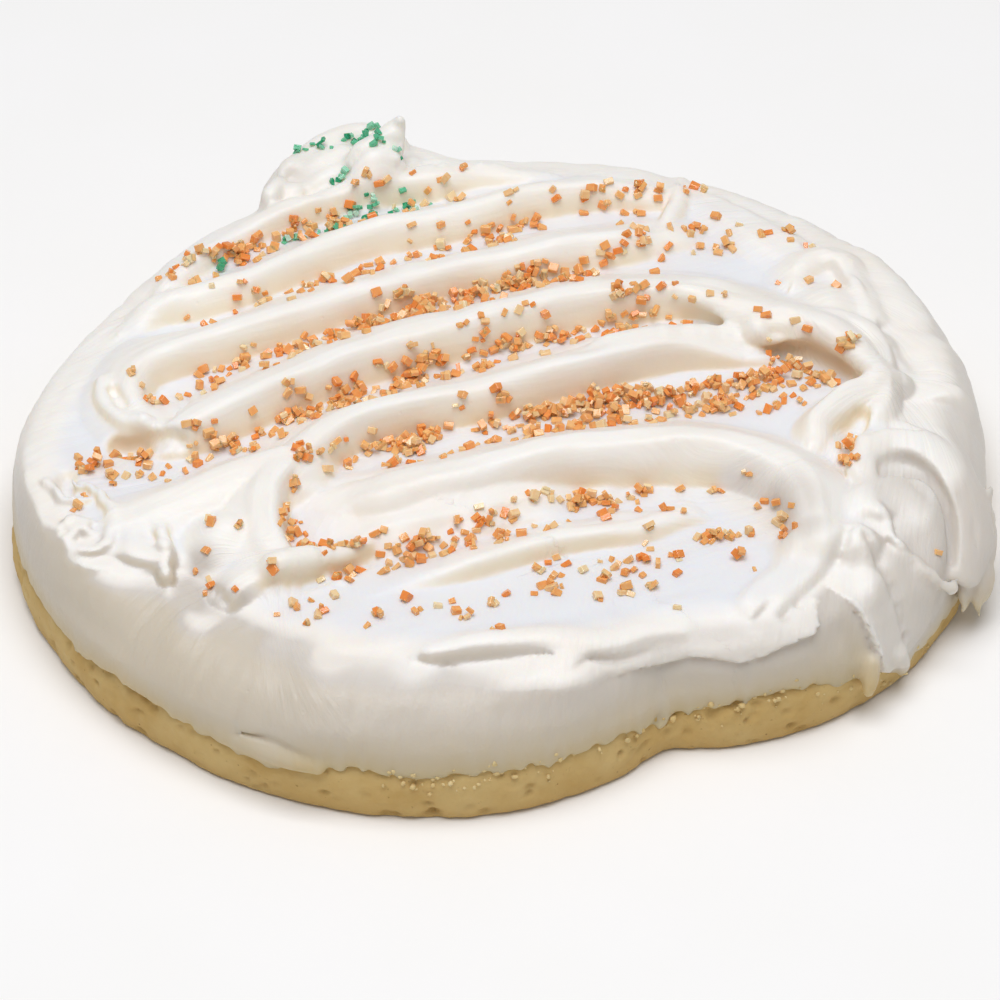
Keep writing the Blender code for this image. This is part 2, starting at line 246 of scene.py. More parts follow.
RIDGES = (
    # along the back rim, ending below the stem
    Ridge(((-26.0, 24.6, 13.4), (-23.6, 27.1, 15.0), (-18.6, 30.5, 15.5), (-13.8, 31.8, 15.5),
           (-8.5, 32.7, 15.6), (-3.5, 33.0, 16.2), (2.5, 33.1, 16.4), (8.3, 31.8, 16.0),
           (12.6, 31.3, 15.4), (18.5, 29.6, 14.4)), steep=2.6, gentle=5.0),
    # first furrow's front
    Ridge(((-29.5, 22.0, 14.0), (-25.9, 23.4, 15.4), (-20.6, 22.9, 16.0), (-15.8, 23.0, 16.0),
           (-10.3, 24.4, 16.0), (-3.1, 25.5, 16.0), (2.9, 25.4, 16.0), (8.2, 25.0, 16.0),
           (13.8, 25.2, 16.0), (18.8, 24.7, 16.0), (22.9, 23.7, 15.8), (28.2, 21.7, 15.0),
           (31.5, 20.4, 14.2)), gentle=6.0),
    # second furrow's front, with its hooked left end
    Ridge(((-33.0, 5.3, 14.6), (-33.7, 9.5, 15.4), (-32.6, 12.6, 15.8), (-29.5, 14.9, 16.2),
           (-21.8, 14.9, 16.5), (-13.1, 15.6, 16.5), (-4.3, 16.2, 16.5), (2.9, 16.0, 16.5),
           (8.7, 15.4, 16.5), (14.7, 14.9, 16.4), (20.6, 14.2, 15.8), (26.2, 14.2, 14.6),
           (30.0, 14.4, 13.6)), gentle=7.4),
    # third furrow's front, which turns down at the right and closes the deep end
    Ridge(((-33.4, 6.6, 15.2), (-32.6, 3.9, 15.6), (-30.6, 2.8, 16.4), (-26.1, 3.4, 17.0),
           (-18.8, 5.2, 17.0), (-13.4, 6.5, 17.0), (-8.0, 7.0, 17.0), (-1.1, 6.8, 17.0),
           (6.6, 6.7, 17.0), (14.0, 6.4, 17.0), (19.5, 4.9, 17.0), (24.1, 2.8, 16.9),
           (26.8, 0.4, 16.8), (29.2, -2.6, 16.8), (32.2, -5.2, 16.6), (34.4, -9.6, 16.6),
           (35.6, -14.6, 16.2))),
    # rim beyond it, up to the sharp corner, and the short face that falls from the corner
    Ridge(((31.0, -3.6, 16.2), (34.6, -4.8, 16.0), (37.6, -6.8, 15.8), (38.8, -10.1, 15.5),
           (37.8, -13.4, 15.6), (36.2, -16.6, 15.6)), steep=5.0, gentle=3.0),
    Ridge(((24.6, -21.4, 15.0), (26.4, -18.6, 15.8), (30.4, -17.0, 16.0), (33.7, -16.4, 16.0),
           (36.8, -15.8, 15.9)), steep=3.4, gentle=2.6),
    # rim that runs on from there beside the small sugared cleft
    Ridge(((35.6, -17.4, 15.2), (33.0, -20.4, 15.0), (30.8, -23.6, 14.8), (28.4, -27.6, 14.6),
           (24.8, -32.6, 14.6), (22.8, -36.2, 14.2)), steep=2.2, gentle=3.0),
    # fourth furrow's front, from the blunt tongue round the furrow's left end
    Ridge(((-25.6, -20.2, 14.0), (-27.8, -17.6, 15.8), (-27.7, -13.4, 16.6), (-25.6, -9.3, 17.0),
           (-21.8, -6.2, 17.0), (-16.1, -3.6, 17.0), (-10.2, -3.0, 17.0), (-3.1, -3.5, 17.0),
           (6.3, -3.9, 17.0), (12.8, -3.9, 16.8), (19.1, -4.2, 16.2), (24.9, -6.2, 14.2)),
          steep=2.0),
    # tongue's own front
    Ridge(((-36.0, -20.8, 13.8), (-34.4, -20.2, 14.8), (-32.0, -19.4, 15.4), (-29.0, -19.0, 15.4),
           (-25.4, -20.0, 13.8)), steep=1.8, gentle=6.0),
    # low ridge from the left rim to the fourth furrow's front
    Ridge(((-38.5, -5.4, 14.6), (-35.0, -5.6, 15.3), (-29.0, -5.0, 16.0), (-23.0, -5.0, 16.8)),
          steep=7.0, gentle=5.0),
    # fifth furrow's front, the tallest, which turns down round the oval furrow
    Ridge(((-24.0, -13.1, 13.4), (-19.5, -12.9, 15.4), (-16.0, -14.2, 16.8), (-9.8, -14.8, 17.4),
           (-3.2, -14.8, 17.5), (4.9, -16.3, 17.5), (13.7, -19.2, 17.5), (18.9, -23.3, 17.2),
           (20.9, -28.0, 16.6), (20.6, -32.2, 15.8), (17.6, -36.6, 14.8), (13.0, -39.4, 14.2)),
          steep=4.2),
    # low ridge in the oval furrow
    Ridge(((-19.5, -24.8, 13.4), (-13.4, -24.8, 14.4), (-7.6, -25.2, 14.7), (-1.5, -25.9, 14.7),
           (4.8, -26.5, 14.6), (9.2, -26.3, 14.2), (13.5, -27.0, 13.2)), steep=1.7, gentle=6.4),
    # right end of the second furrow
    Ridge(((30.6, 21.0, 15.0), (29.4, 19.0, 15.0), (27.6, 16.8, 14.8), (24.4, 13.6, 14.4)),
          steep=1.6, gentle=3.6),
    # broad plateau beyond it, up to the back right edge
    Ridge(((33.0, 21.5, 14.2), (36.0, 15.0, 14.6), (38.0, 9.0, 14.6)), steep=7.0, gentle=6.0),
    # small rim round the pit near the right edge
    Ridge(((34.6, 2.6, 14.6), (36.0, 4.2, 15.4), (39.0, 4.9, 15.8), (41.1, 3.2, 15.8),
           (40.6, -0.9, 15.6), (39.6, -6.4, 15.2)), steep=3.2, gentle=4.6),
    # front rim
    Ridge(((-36.6, -20.4, 13.6), (-36.0, -23.0, 13.6), (-34.6, -25.6, 13.6), (-32.0, -28.0, 13.6),
           (-28.4, -30.0, 13.6), (-23.4, -31.6, 13.6), (-18.4, -33.4, 13.6), (-13.8, -35.0, 13.6),
           (-9.8, -36.8, 13.6), (-5.2, -38.2, 13.5), (-0.4, -38.4, 13.4), (4.6, -38.6, 13.4),
           (9.4, -39.6, 13.3), (14.0, -39.8, 13.3), (18.6, -38.2, 13.6), (21.6, -36.6, 13.8)),
          steep=4.8, gentle=7.0),
    # wide lower slope at the left of the oval furrow
    Ridge(((-25.0, -14.2, 13.4), (-19.0, -14.0, 15.0), (-12.0, -15.2, 15.6), (-5.0, -15.6, 15.4),
           (2.0, -16.4, 14.2)), steep=8.0, gentle=5.0),
)

FURROW_FLOOR = 12.9

# Places where the knife dug deeper: (x, y, depth, radius).
HOLLOWS = (
    (-20.0, -18.8, 0.6, 4.2), (-13.0, -19.2, 0.8, 4.6), (-6.0, -19.4, 0.8, 4.6),
    (1.0, -20.2, 0.8, 4.4), (8.0, -22.0, 0.8, 4.4), (14.0, -25.0, 0.9, 4.4),
    (15.4, -25.6, 0.9, 2.8), (16.8, -28.6, 1.6, 3.0), (16.6, -31.4, 0.9, 2.8),
    (-36.6, 3.6, 0.9, 3.2), (31.0, -9.4, 0.8, 4.0), (38.2, 1.0, 1.2, 2.6), (38.0, -3.0, 1.0, 2.4),
)

# (bearing, inset of the top's edge, bank above the floor, height of the skirt's lower edge,
# how far the skirt stands proud of the dough)
ICING_EDGE = (
    (0, 7.0, 1.6, 5.0, 0.5), (20, 4.6, 1.2, 5.6, 0.4), (45, 2.8, 1.0, 6.0, 0.3),
    (90, 2.8, 2.2, 6.0, 0.3), (120, 3.2, 0.9, 6.0, 0.3), (150, 3.2, 0.9, 6.0, 0.1),
    (170, 2.6, 0.9, 5.6, 0.0), (184, 2.4, 1.0, 5.1, 0.1), (191, 3.6, 1.1, 5.0, 0.2),
    (196, 6.4, 1.2, 5.4, 0.2), (201, 9.2, 0.6, 6.0, 0.1), (207, 9.2, 0.3, 5.8, 0.1),
    (213, 8.0, 0.4, 5.2, 0.2), (219, 8.0, 0.5, 4.4, 0.4), (223, 8.2, 0.6, 4.2, 0.4),
    (229, 7.8, 0.8, 5.4, 0.1), (236, 7.8, 0.9, 5.4, 0.0), (243, 7.8, 1.0, 5.6, 0.0),
    (250, 7.4, 1.0, 5.4, 0.0), (257, 5.6, 0.8, 5.3, 0.0), (264, 4.0, 0.7, 5.2, 0.0),
    (270, 3.2, 0.6, 4.8, 0.0), (278, 3.0, 0.4, 5.4, 0.0), (285, 3.2, 0.4, 5.4, 0.0),
    (290, 3.6, 0.4, 5.0, 0.0), (294, 4.4, 0.5, 4.4, 0.2), (297, 4.8, 0.5, 3.8, 0.3),
    (302, 5.2, 0.7, 2.8, 0.2), (307, 5.6, 0.8, 2.4, 0.1), (314, 6.2, 1.0, 2.4, 0.0),
    (322, 7.2, 1.2, 2.8, 0.1), (332, 8.0, 1.4, 4.2, 0.3), (342, 8.4, 1.6, 5.0, 0.6),
)

# Broad lumps on the top: (x, y, height, radius).
LUMPS = (
    (-1.0, 36.6, 16.2, 9.0), (-31.6, -12.6, 16.3, 6.4), (36.5, -3.0, 15.6, 8.0),
    (29.0, -24.0, 15.4, 6.0), (-6.2, 35.6, 15.8, 4.2),
)

# Lower edge of the fresh layer that hangs over the scraped wall: (bearing, height, thickness,
# softness of the edge, painted shade on the slope above it).
SKIN_EDGE = (
    (0, 4.0, 0.0, 2.0, 0.15), (25, 6.0, 0.0, 2.0, 0.1), (60, 7.0, 0.0, 2.0, 0.0),
    (92, 8.0, 0.0, 2.5, 0.0), (102, 8.0, 0.0, 2.5, 0.15), (114, 8.0, 0.0, 2.5, 0.0),
    (140, 8.0, 0.0, 2.5, 0.0), (165, 9.6, 0.0, 2.5, 0.1), (180, 10.6, 0.0, 2.5, 0.35),
    (192, 10.8, 0.0, 2.5, 0.5), (205, 11.0, 0.0, 2.5, 0.55), (222, 11.4, 0.0, 2.0, 0.5),
    (229, 11.4, 0.0, 1.4, 0.45), (234, 12.0, 0.1, 1.2, 0.42), (240, 12.4, 0.1, 1.0, 0.4),
    (247, 12.5, 0.1, 1.0, 0.4), (254, 12.2, 0.15, 1.0, 0.35), (262, 11.6, 0.3, 0.6, 0.25),
    (268, 11.0, 0.5, 0.45, 0.2), (274, 10.8, 0.5, 0.4, 0.2), (279, 10.7, 0.5, 0.4, 0.2),
    (285, 11.1, 0.5, 0.35, 0.2), (289, 11.8, 0.6, 0.35, 0.15), (292, 12.8, 0.7, 0.35, 0.1),
    (293.6, 13.0, 0.8, 0.35, 0.1), (294.6, 11.8, 0.8, 0.35, 0.1), (295.4, 8.0, 0.8, 0.35, 0.1),
    (296.2, 5.0, 0.6, 0.5, 0.15), (299, 4.2, 0.2, 1.2, 0.2), (306, 5.6, 0.0, 2.4, 0.25),
    (314, 7.4, 0.0, 2.4, 0.28), (322, 7.0, 0.0, 2.4, 0.26), (335, 4.6, 0.0, 2.4, 0.2),
)

# Spots inside the rim given painted shade, a greyer colour for shaded pockets and flanks: (x, y,
# height, radius, how strong).
PAINTED_SHADE_SPOTS = (
    (30.4, -30.0, 11.0, 5.0, 0.2), (32.0, -34.0, 9.5, 3.5, 0.15), (18.6, -29.6, 14.8, 3.4, 0.22),
    (18.0, -33.6, 14.6, 2.6, 0.18), (16.2, -25.6, 14.8, 3.0, 0.14), (-6.0, 39.8, 13.0, 4.5, 0.14),
)


# ---------------------------------------------------------------- the icing's shape

@dataclass(frozen=True)
class Smear:
    """Icing dragged along a curve: added to the body, or a cut left in it."""

    points: tuple                   # (x, y, height, radius) along the curve
    blend: float = 0.8              # how softly it runs into the body
    cut: bool = False
    flatten: float = 1.0            # above 1 the section is thinner along facing
    facing: tuple = (0.0, 0.0, 1.0)
    rides: bool = False             # heights are measured from the surface below

    def section(self, curve: np.ndarray, x: np.ndarray, y: np.ndarray,
                z: np.ndarray) -> np.ndarray:
        """Signed depth inside the smear at points of a small block.

        Args:
            curve: sampled points and radii.
            x: first coordinates.
            y: second coordinates.
            z: heights.

        Returns:
            Depth in millimetres, negative outside.
        """
        facing = np.array(self.facing) / np.linalg.norm(self.facing)
        best = np.full(np.broadcast(x, y, z).shape, -np.inf, dtype=np.float32)
        for px, py, pz, radius in curve:
            dx, dy, dz = x - px, y - py, z - pz
            squared = dx * dx + dy * dy + dz * dz
            if self.flatten != 1.0:
                thin = dx * facing[0] + dy * facing[1] + dz * facing[2]
                squared = squared + (self.flatten ** 2 - 1.0) * thin * thin
            best = np.maximum(best, radius - np.sqrt(squared))
        return best


class IcingField:
    """Depth inside the icing on a regular block of points, positive inside."""

    def __init__(self, step: float) -> None:
        """Lay out the block of points, step millimetres apart."""
        self.step = step
        self.low = np.array((-51.6, -49.2, 1.0))
        high = np.array((52.8, 47.4, 21.0))
        counts = np.ceil((high - self.low) / step).astype(int) + 1
        self.x, self.y, self.z = (
            self.low[axis] + step * np.arange(counts[axis]) for axis in range(3)
        )
        self.values = np.zeros(counts, dtype=np.float32)

    def fill_body(self, shape: "IcingShape") -> None:
        """Fill the block from the shape's top surface, wall and skirt."""
        x, y = np.meshgrid(self.x, self.y, indexing="ij")
        reach = np.hypot(x, y)
        bearing = np.mod(np.degrees(np.arctan2(y, x)), 360.0)
        top = shape.top_height(x, y)
        slope_x, slope_y = np.gradient(top, self.step)
        level = 1.0 / np.sqrt(1.0 + np.minimum(slope_x ** 2 + slope_y ** 2, 6.0))
        wall = shape.wall_table(self.z)
        column = bearing / 360.0 * (len(wall) - 1)
        before = np.floor(column).astype(int)
        share = column - before
        after = np.minimum(before + 1, len(wall) - 1)
        under = shape.under_height(bearing, reach)
        for index, height in enumerate(self.z):
            out = wall[before, index] * (1 - share) + wall[after, index] * share
            body = smooth_minimum((top - height) * level, out - reach, 1.1)
            self.values[:, :, index] = smooth_minimum(body, height - under, 0.7)

    def level(self, x: np.ndarray, y: np.ndarray) -> np.ndarray:
        """Height of the surface over plan points."""
        column = np.clip(np.rint((x - self.low[0]) / self.step).astype(int), 0, len(self.x) - 1)
        row = np.clip(np.rint((y - self.low[1]) / self.step).astype(int), 0, len(self.y) - 1)
        inside = self.values[column, row] > 0
        top = len(self.z) - 1 - np.argmax(inside[:, ::-1], axis=1)
        return self.z[np.where(inside.any(axis=1), top, 0)]

    def apply(self, smear: Smear) -> None:
        """Add or cut one smear inside the block of points that it reaches."""
        curve = sample_curve(smear.points, 9)
        if smear.rides:
            curve[:, 2] += self.level(curve[:, 0], curve[:, 1])
        margin = curve[:, 3].max() + smear.blend + 2 * self.step
        slices = []
        for axis, line in enumerate((self.x, self.y, self.z)):
            first = np.searchsorted(line, curve[:, axis].min() - margin)
            last = np.searchsorted(line, curve[:, axis].max() + margin)
            slices.append(slice(first, last))
        x = self.x[slices[0]][:, None, None]
        y = self.y[slices[1]][None, :, None]
        z = self.z[slices[2]][None, None, :]
        depth = smear.section(curve, x, y, z)
        block = self.values[tuple(slices)]
        if smear.cut:
            block[:] = smooth_minimum(block, -depth, smear.blend)
        else:
            block[:] = smooth_maximum(block, depth, smear.blend)

    def surface(self) -> tuple[np.ndarray, np.ndarray]:
        """Draw the surface between inside and outside.

        Returns:
            Vertex places in millimetres, and four-cornered faces that point outward.
        """
        values = self.values
        inside = values > 0
        shape = np.array(values.shape) - 1
        corners = list(itertools.product((0, 1), repeat=3))
        count = np.zeros(shape, dtype=np.int8)
        for i, j, k in corners:
            count += inside[i:i + shape[0], j:j + shape[1], k:k + shape[2]]
        cells = np.argwhere((count > 0) & (count < 8))
        number = np.full(shape, -1, dtype=np.int64)
        number[tuple(cells.T)] = np.arange(len(cells))
        samples = {c: values[tuple((cells + c).T)].astype(float) for c in corners}
        total = np.zeros((len(cells), 3))
        crossings = np.zeros(len(cells))
        for start, end in itertools.combinations(corners, 2):
            if sum(abs(a - b) for a, b in zip(start, end)) != 1:
                continue
            first, second = samples[start], samples[end]
            crossed = (first > 0) != (second > 0)
            share = first[crossed] / (first[crossed] - second[crossed])
            along = np.array(end) - np.array(start)
            total[crossed] += np.array(start) + share[:, None] * along
            crossings[crossed] += 1
        places = self.low + self.step * (cells + total / crossings[:, None])
        faces = []
        for axis in range(3):
            faces.append(self._faces_across(inside, number, axis))
        return places, np.concatenate(faces)

    @staticmethod
    def _faces_across(inside: np.ndarray, number: np.ndarray, axis: int) -> np.ndarray:
        """Faces that cross the grid lines running along one axis."""
        second, third = (axis + 1) % 3, (axis + 2) % 3
        ahead = np.roll(inside, -1, axis=axis)
        crossed = inside != ahead
        for side, line in ((axis, -1), (second, 0), (second, -1), (third, 0), (third, -1)):
            edge = [slice(None)] * 3
            edge[side] = line
            crossed[tuple(edge)] = False
        edges = np.argwhere(crossed)
        leaving = inside[tuple(edges.T)]
        back_second = np.zeros(3, dtype=int)
        back_second[second] = 1
        back_third = np.zeros(3, dtype=int)
        back_third[third] = 1
        loop = [
            number[tuple((edges - a * back_second - b * back_third).T)]
            for a, b in ((0, 0), (1, 0), (1, 1), (0, 1))
        ]
        quads = np.stack(loop, axis=1)
        quads[~leaving] = quads[~leaving][:, ::-1]
        return quads


class IcingShape:
    """Top surface, wall and skirt of the icing as the knife left them."""

    def __init__(self) -> None:
        """Sample the bearings of the wall's table."""
        self.bearings = np.linspace(0.0, 360.0, 1441)
        edge = by_bearing(ICING_EDGE, self.bearings)
        self.outline = dough_reach(self.bearings)
        wander = self._round_variation(9.0, 11) * 0.35 + self._round_variation(3.2, 12) * 0.16
        self.edge_reach = self.outline - edge[:, 0] + wander
        ragged = self._round_variation(1.1, 13) * 0.4 + self._round_variation(3.5, 14) * 0.3
        crumbly = np.maximum(self._round_variation(0.75, 17), 0.0) * 0.9
        self.foot = edge[:, 2] + ragged - crumbly
        self.foot_reach = self.outline + edge[:, 3]

    def _round_variation(self, scale: float, seed: int) -> np.ndarray:
        """Variation along the wall that closes up after one turn."""
        angles = np.radians(self.bearings)
        ring = np.stack((np.cos(angles), np.sin(angles)), axis=1) * self.outline[:, None]
        return variation(ring + 200.0, scale, seed)

    def foot_height(self, bearing: float) -> float:
        """Height of the skirt's lower edge at one bearing."""
        return float(np.interp(bearing, self.bearings, self.foot))

    def _read(self, values: np.ndarray, bearings: np.ndarray) -> np.ndarray:
        """Read one of the round tables at any bearings."""
        return np.interp(bearings, self.bearings, values)

    def top_height(self, x: np.ndarray, y: np.ndarray) -> np.ndarray:
        """Height of the top surface over plan points, with the wander of a hand-held knife."""
        flat = np.stack((x, y), axis=-1) + 300.0
        warp_x = variation(flat, 7.0, 21) * 0.4 + variation(flat, 2.4, 22) * 0.12
        warp_y = variation(flat, (9.0, 5.0), 23) * 0.45 + variation(flat, (4.0, 2.0), 24) * 0.14
        bearing = np.mod(np.degrees(np.arctan2(y, x)), 360.0)
        share = np.clip(np.hypot(x, y) / self._read(self.edge_reach, bearing), 0.0, 1.15)
        bank = by_bearing(ICING_EDGE, bearing)[..., 1]
        height = FURROW_FLOOR + bank * smooth_step((share - 0.74) / 0.26)
        height = height + variation(flat, 10.0, 25) * 0.3
        height = height + variation(flat, (14.0, 0.9), 26) * 0.06
        for number, ridge in enumerate(RIDGES):
            crest = ridge.height(x + warp_x, y + warp_y, FURROW_FLOOR, 200 + 10 * number)
            height = smooth_maximum(height, crest, 0.3)
        dug = np.zeros_like(height)
        for hollow_x, hollow_y, depth, radius in HOLLOWS:
            distance = np.hypot(x - hollow_x + warp_x, y - hollow_y + warp_y)
            dug = np.maximum(dug, depth * (1.0 - smooth_step(distance / radius)))
        height = height - dug * smooth_step((15.6 - height) / 2.0)
        for lump_x, lump_y, top, radius in LUMPS:
            distance = np.hypot(x - lump_x + warp_x, y - lump_y + warp_y)
            lump = FURROW_FLOOR + (top - FURROW_FLOOR) * (1.0 - smooth_step(distance / radius))
            height = smooth_maximum(height, lump, 0.5)
        rough = variation(flat, 2.6, 27) * 0.22 * smooth_step((share - 0.82) / 0.1)
        stem = smooth_step((9.5 - np.hypot(x - 0.5, y - 38.5)) / 2.5)
        lumpy = variation(flat, 2.1, 28) * 0.55 + variation(flat, 4.0, 29) * 0.35
        return height + rough + stem * lumpy - 1.0 * np.minimum(share, 1.0) ** 12

    def wall_table(self, heights: np.ndarray) -> np.ndarray:
        """Reach of the wall for each bearing and height.

        Args:
            heights: the levels at which the wall is read.

        Returns:
            One row for each of the shape's bearings.
        """
        angles = np.radians(self.bearings)
        rim = self.top_height(self.edge_reach * np.cos(angles), self.edge_reach * np.sin(angles))
        up = (heights[None, :] - self.foot[:, None]) / (rim - self.foot)[:, None]
        up = np.clip(up, 0.0, 1.0)
        fullness = 0.86
        out = (1.0 - up ** (2.0 / fullness)) ** (fullness / 2.0)
        edge = self.edge_reach[:, None]
        wall = edge + (self.foot_reach[:, None] - edge) * out
        return wall + self._skin(heights) + self._swells(heights)

    def _skin(self, heights: np.ndarray) -> np.ndarray:
        """How far the fresh layer stands proud, and the scraped wall back, along the front."""
        rows = by_bearing(SKIN_EDGE, self.bearings)
        ragged = self._round_variation(3.4, 15) * 0.3 + self._round_variation(0.9, 16) * 0.1
        above = heights[None, :] - (rows[:, 0] + ragged)[:, None]
        thick = rows[:, 1][:, None]
        proud = thick * smooth_step(above / 0.3 + 0.5) * (1.0 - smooth_step(above / 4.0))
        back = 0.7 * thick * (1.0 - smooth_step(above / 0.3 + 0.5)) * (1.0 - smooth_step(-above / 6.0))
        return proud - back

    def scraped_and_shade_tone(self, places: np.ndarray, upward: np.ndarray) -> np.ndarray:
        """How thin the icing was scraped on the wall, with painted shade on sloping outer faces and
        under the rim: 0 on fresh icing, 1 at the skirt's edge.

        Args:
            places: rows of (x, y, height).
            upward: how far each place faces upward, from -1 to 1.

        Returns:
            One value for each row.
        """
        reach = np.hypot(places[:, 0], places[:, 1])
        bearing = np.mod(np.degrees(np.arctan2(places[:, 1], places[:, 0])), 360.0)
        rows = by_bearing(SKIN_EDGE, bearing)
        ragged = self._round_variation(3.4, 15) * 0.3 + self._round_variation(0.9, 16) * 0.1
        edge = rows[:, 0] + self._read(ragged, bearing)
        foot = self._read(self.foot, bearing)
        below = smooth_step((edge - places[:, 2]) / np.maximum(rows[:, 2], 0.3) + 0.5)
        depth = np.clip((edge - places[:, 2]) / np.maximum(edge - foot, 1.5), 0.0, 1.0)
        beyond = reach - self._read(self.edge_reach, bearing)
        outside = smooth_step((beyond + 1.5) / 1.5)
        around = smooth_step((beyond + 4.0) / 4.0)
        # Painted shade: sloping outer faces and the flank below the rim take the darker scraped
        # colour, as much as the table's last column gives.
        shade_by_facing = smooth_step((0.97 - upward) / 0.3)
        under = smooth_step((beyond + 3.0) / 3.0) * smooth_step((13.0 - places[:, 2]) / 1.0)
        slope_shade = rows[:, 3] * np.maximum(shade_by_facing, under)
        return np.maximum(outside * below * (0.3 + 0.7 * depth ** 1.4), around * slope_shade)

    def inside_rim(self, places: np.ndarray) -> np.ndarray:
        """How far each place lies inside the top's rim: 0 at the rim, 1 a few millimetres in."""
        bearing = np.mod(np.degrees(np.arctan2(places[:, 1], places[:, 0])), 360.0)
        inward = self._read(self.edge_reach, bearing) - np.hypot(places[:, 0], places[:, 1])
        return smooth_step((inward - 1.0) / 3.0)

    def _swells(self, heights: np.ndarray) -> np.ndarray:
        """Slow swells and a few horizontal drag marks on the wall."""
        travel, level = self._unrolled(heights)
        flat = np.stack((travel, level), axis=-1) + 500.0
        slow = variation(flat, (11.0, 6.0), 41) * 0.4
        drag = variation(flat, (9.0, 1.3), 42) * 0.13
        return slow + drag

    def _unrolled(self, heights: np.ndarray) -> tuple[np.ndarray, np.ndarray]:
        """The wall unrolled: distance round it, and height, as two tables."""
        travel = np.radians(self.bearings) * self.outline.mean()
        return np.meshgrid(travel, heights, indexing="ij")

    def under_height(self, bearing: np.ndarray, reach: np.ndarray) -> np.ndarray:
        """Height of the icing's underside, which drops to the skirt's edge outside the dough."""
        foot = self._read(self.foot, bearing)
        inward = self._read(self.outline, bearing) - reach
        hidden = 6.1
        return foot + (hidden - foot) * smooth_step((inward - 2.2) / 1.5)


def hanging_lip(edge: tuple) -> list[Smear]:
    """A rolled lip with the gap below it.

    Args:
        edge: (x, y, height, size) along the lip's lower edge.

    Returns:
        The roll, and the cut under it.
    """
    roll, gap = [], []
    for x, y, height, size in edge:
        reach = math.hypot(x, y)
        out_x, out_y = x / reach, y / reach
        roll.append((x - 1.4 * out_x, y - 1.4 * out_y, height - 0.4 * size, 1.4 * size))
        gap.append((x + 0.4 * out_x, y + 0.4 * out_y, height - 0.3 * size, 0.45 * size))
    return [Smear(tuple(roll), blend=2.6), Smear(tuple(gap), blend=0.4, cut=True)]


def ragged(points: tuple, seed: int, jitter: float = 0.3) -> tuple:
    """Resample a curve and shift its points and sizes by chance, so that it looks torn.

    Args:
        points: (x, y, height, radius) along the curve.
        seed: picks the shifts.
        jitter: standard shift in millimetres.

    Returns:
        The torn curve's points.
    """
    draw = np.random.default_rng(seed)
    curve = sample_curve(points, 3)
    curve[:, :3] += draw.normal(0.0, jitter, (len(curve), 3)) * (1.0, 1.0, 0.7)
    curve[:, 3] *= draw.uniform(0.6, 1.35, len(curve))
    curve[:, 3] *= 0.4 + 0.6 * np.sin(np.linspace(0.15, math.pi - 0.15, len(curve)))
    return tuple(tuple(row) for row in curve)


def smears() -> list[Smear]:
    """Curls, flaps, cuts and strands that stand off the icing's main surface."""
    return [*stem_marks(), *furrow_marks(), *right_marks(), *front_marks(), *left_marks()]


def stem_marks() -> list[Smear]:
    """The stem's drawn-up curl, its lumps and its drag lines."""
    return [
        Smear(((2.2, 35.2, 16.0, 2.8), (3.8, 35.8, 17.2, 2.0), (5.0, 36.4, 18.4, 1.25),
               (5.6, 36.4, 19.4, 0.75), (5.6, 36.0, 20.1, 0.5)), blend=1.6),
        Smear(ragged(((-10.2, 33.0, 14.2, 0.6), (-9.2, 35.2, 14.6, 0.8), (-7.6, 37.4, 14.8, 0.8),
                      (-5.4, 39.2, 15.0, 0.9)), 58, 0.3), blend=0.6),
        Smear(ragged(((-10.4, 33.4, 12.8, 0.6), (-9.2, 36.2, 13.2, 0.7), (-7.0, 38.6, 13.6, 0.6)),
                     59, 0.3), blend=0.5),
        Smear(((-4.6, 39.8, 14.6, 1.2), (-0.6, 41.4, 14.8, 1.6), (3.5, 41.8, 14.8, 1.5),
               (6.4, 39.6, 14.6, 1.2)), blend=1.6),
        Smear(((-4.0, 38.2, 0.0, 0.7), (0.0, 39.0, 0.1, 0.9), (3.4, 38.8, 0.0, 0.7)), blend=1.2,
              rides=True),
        Smear(((-5.0, 34.9, 0.3, 0.5), (1.0, 35.0, 0.2, 0.55), (6.0, 34.2, 0.3, 0.5),
               (12.0, 32.9, 0.3, 0.4)), blend=0.7, cut=True, rides=True),
        Smear(((4.0, 33.4, 0.1, 0.5), (9.0, 32.8, 0.1, 0.6), (15.0, 31.4, 0.1, 0.5)), blend=0.7,
              rides=True),
    ]


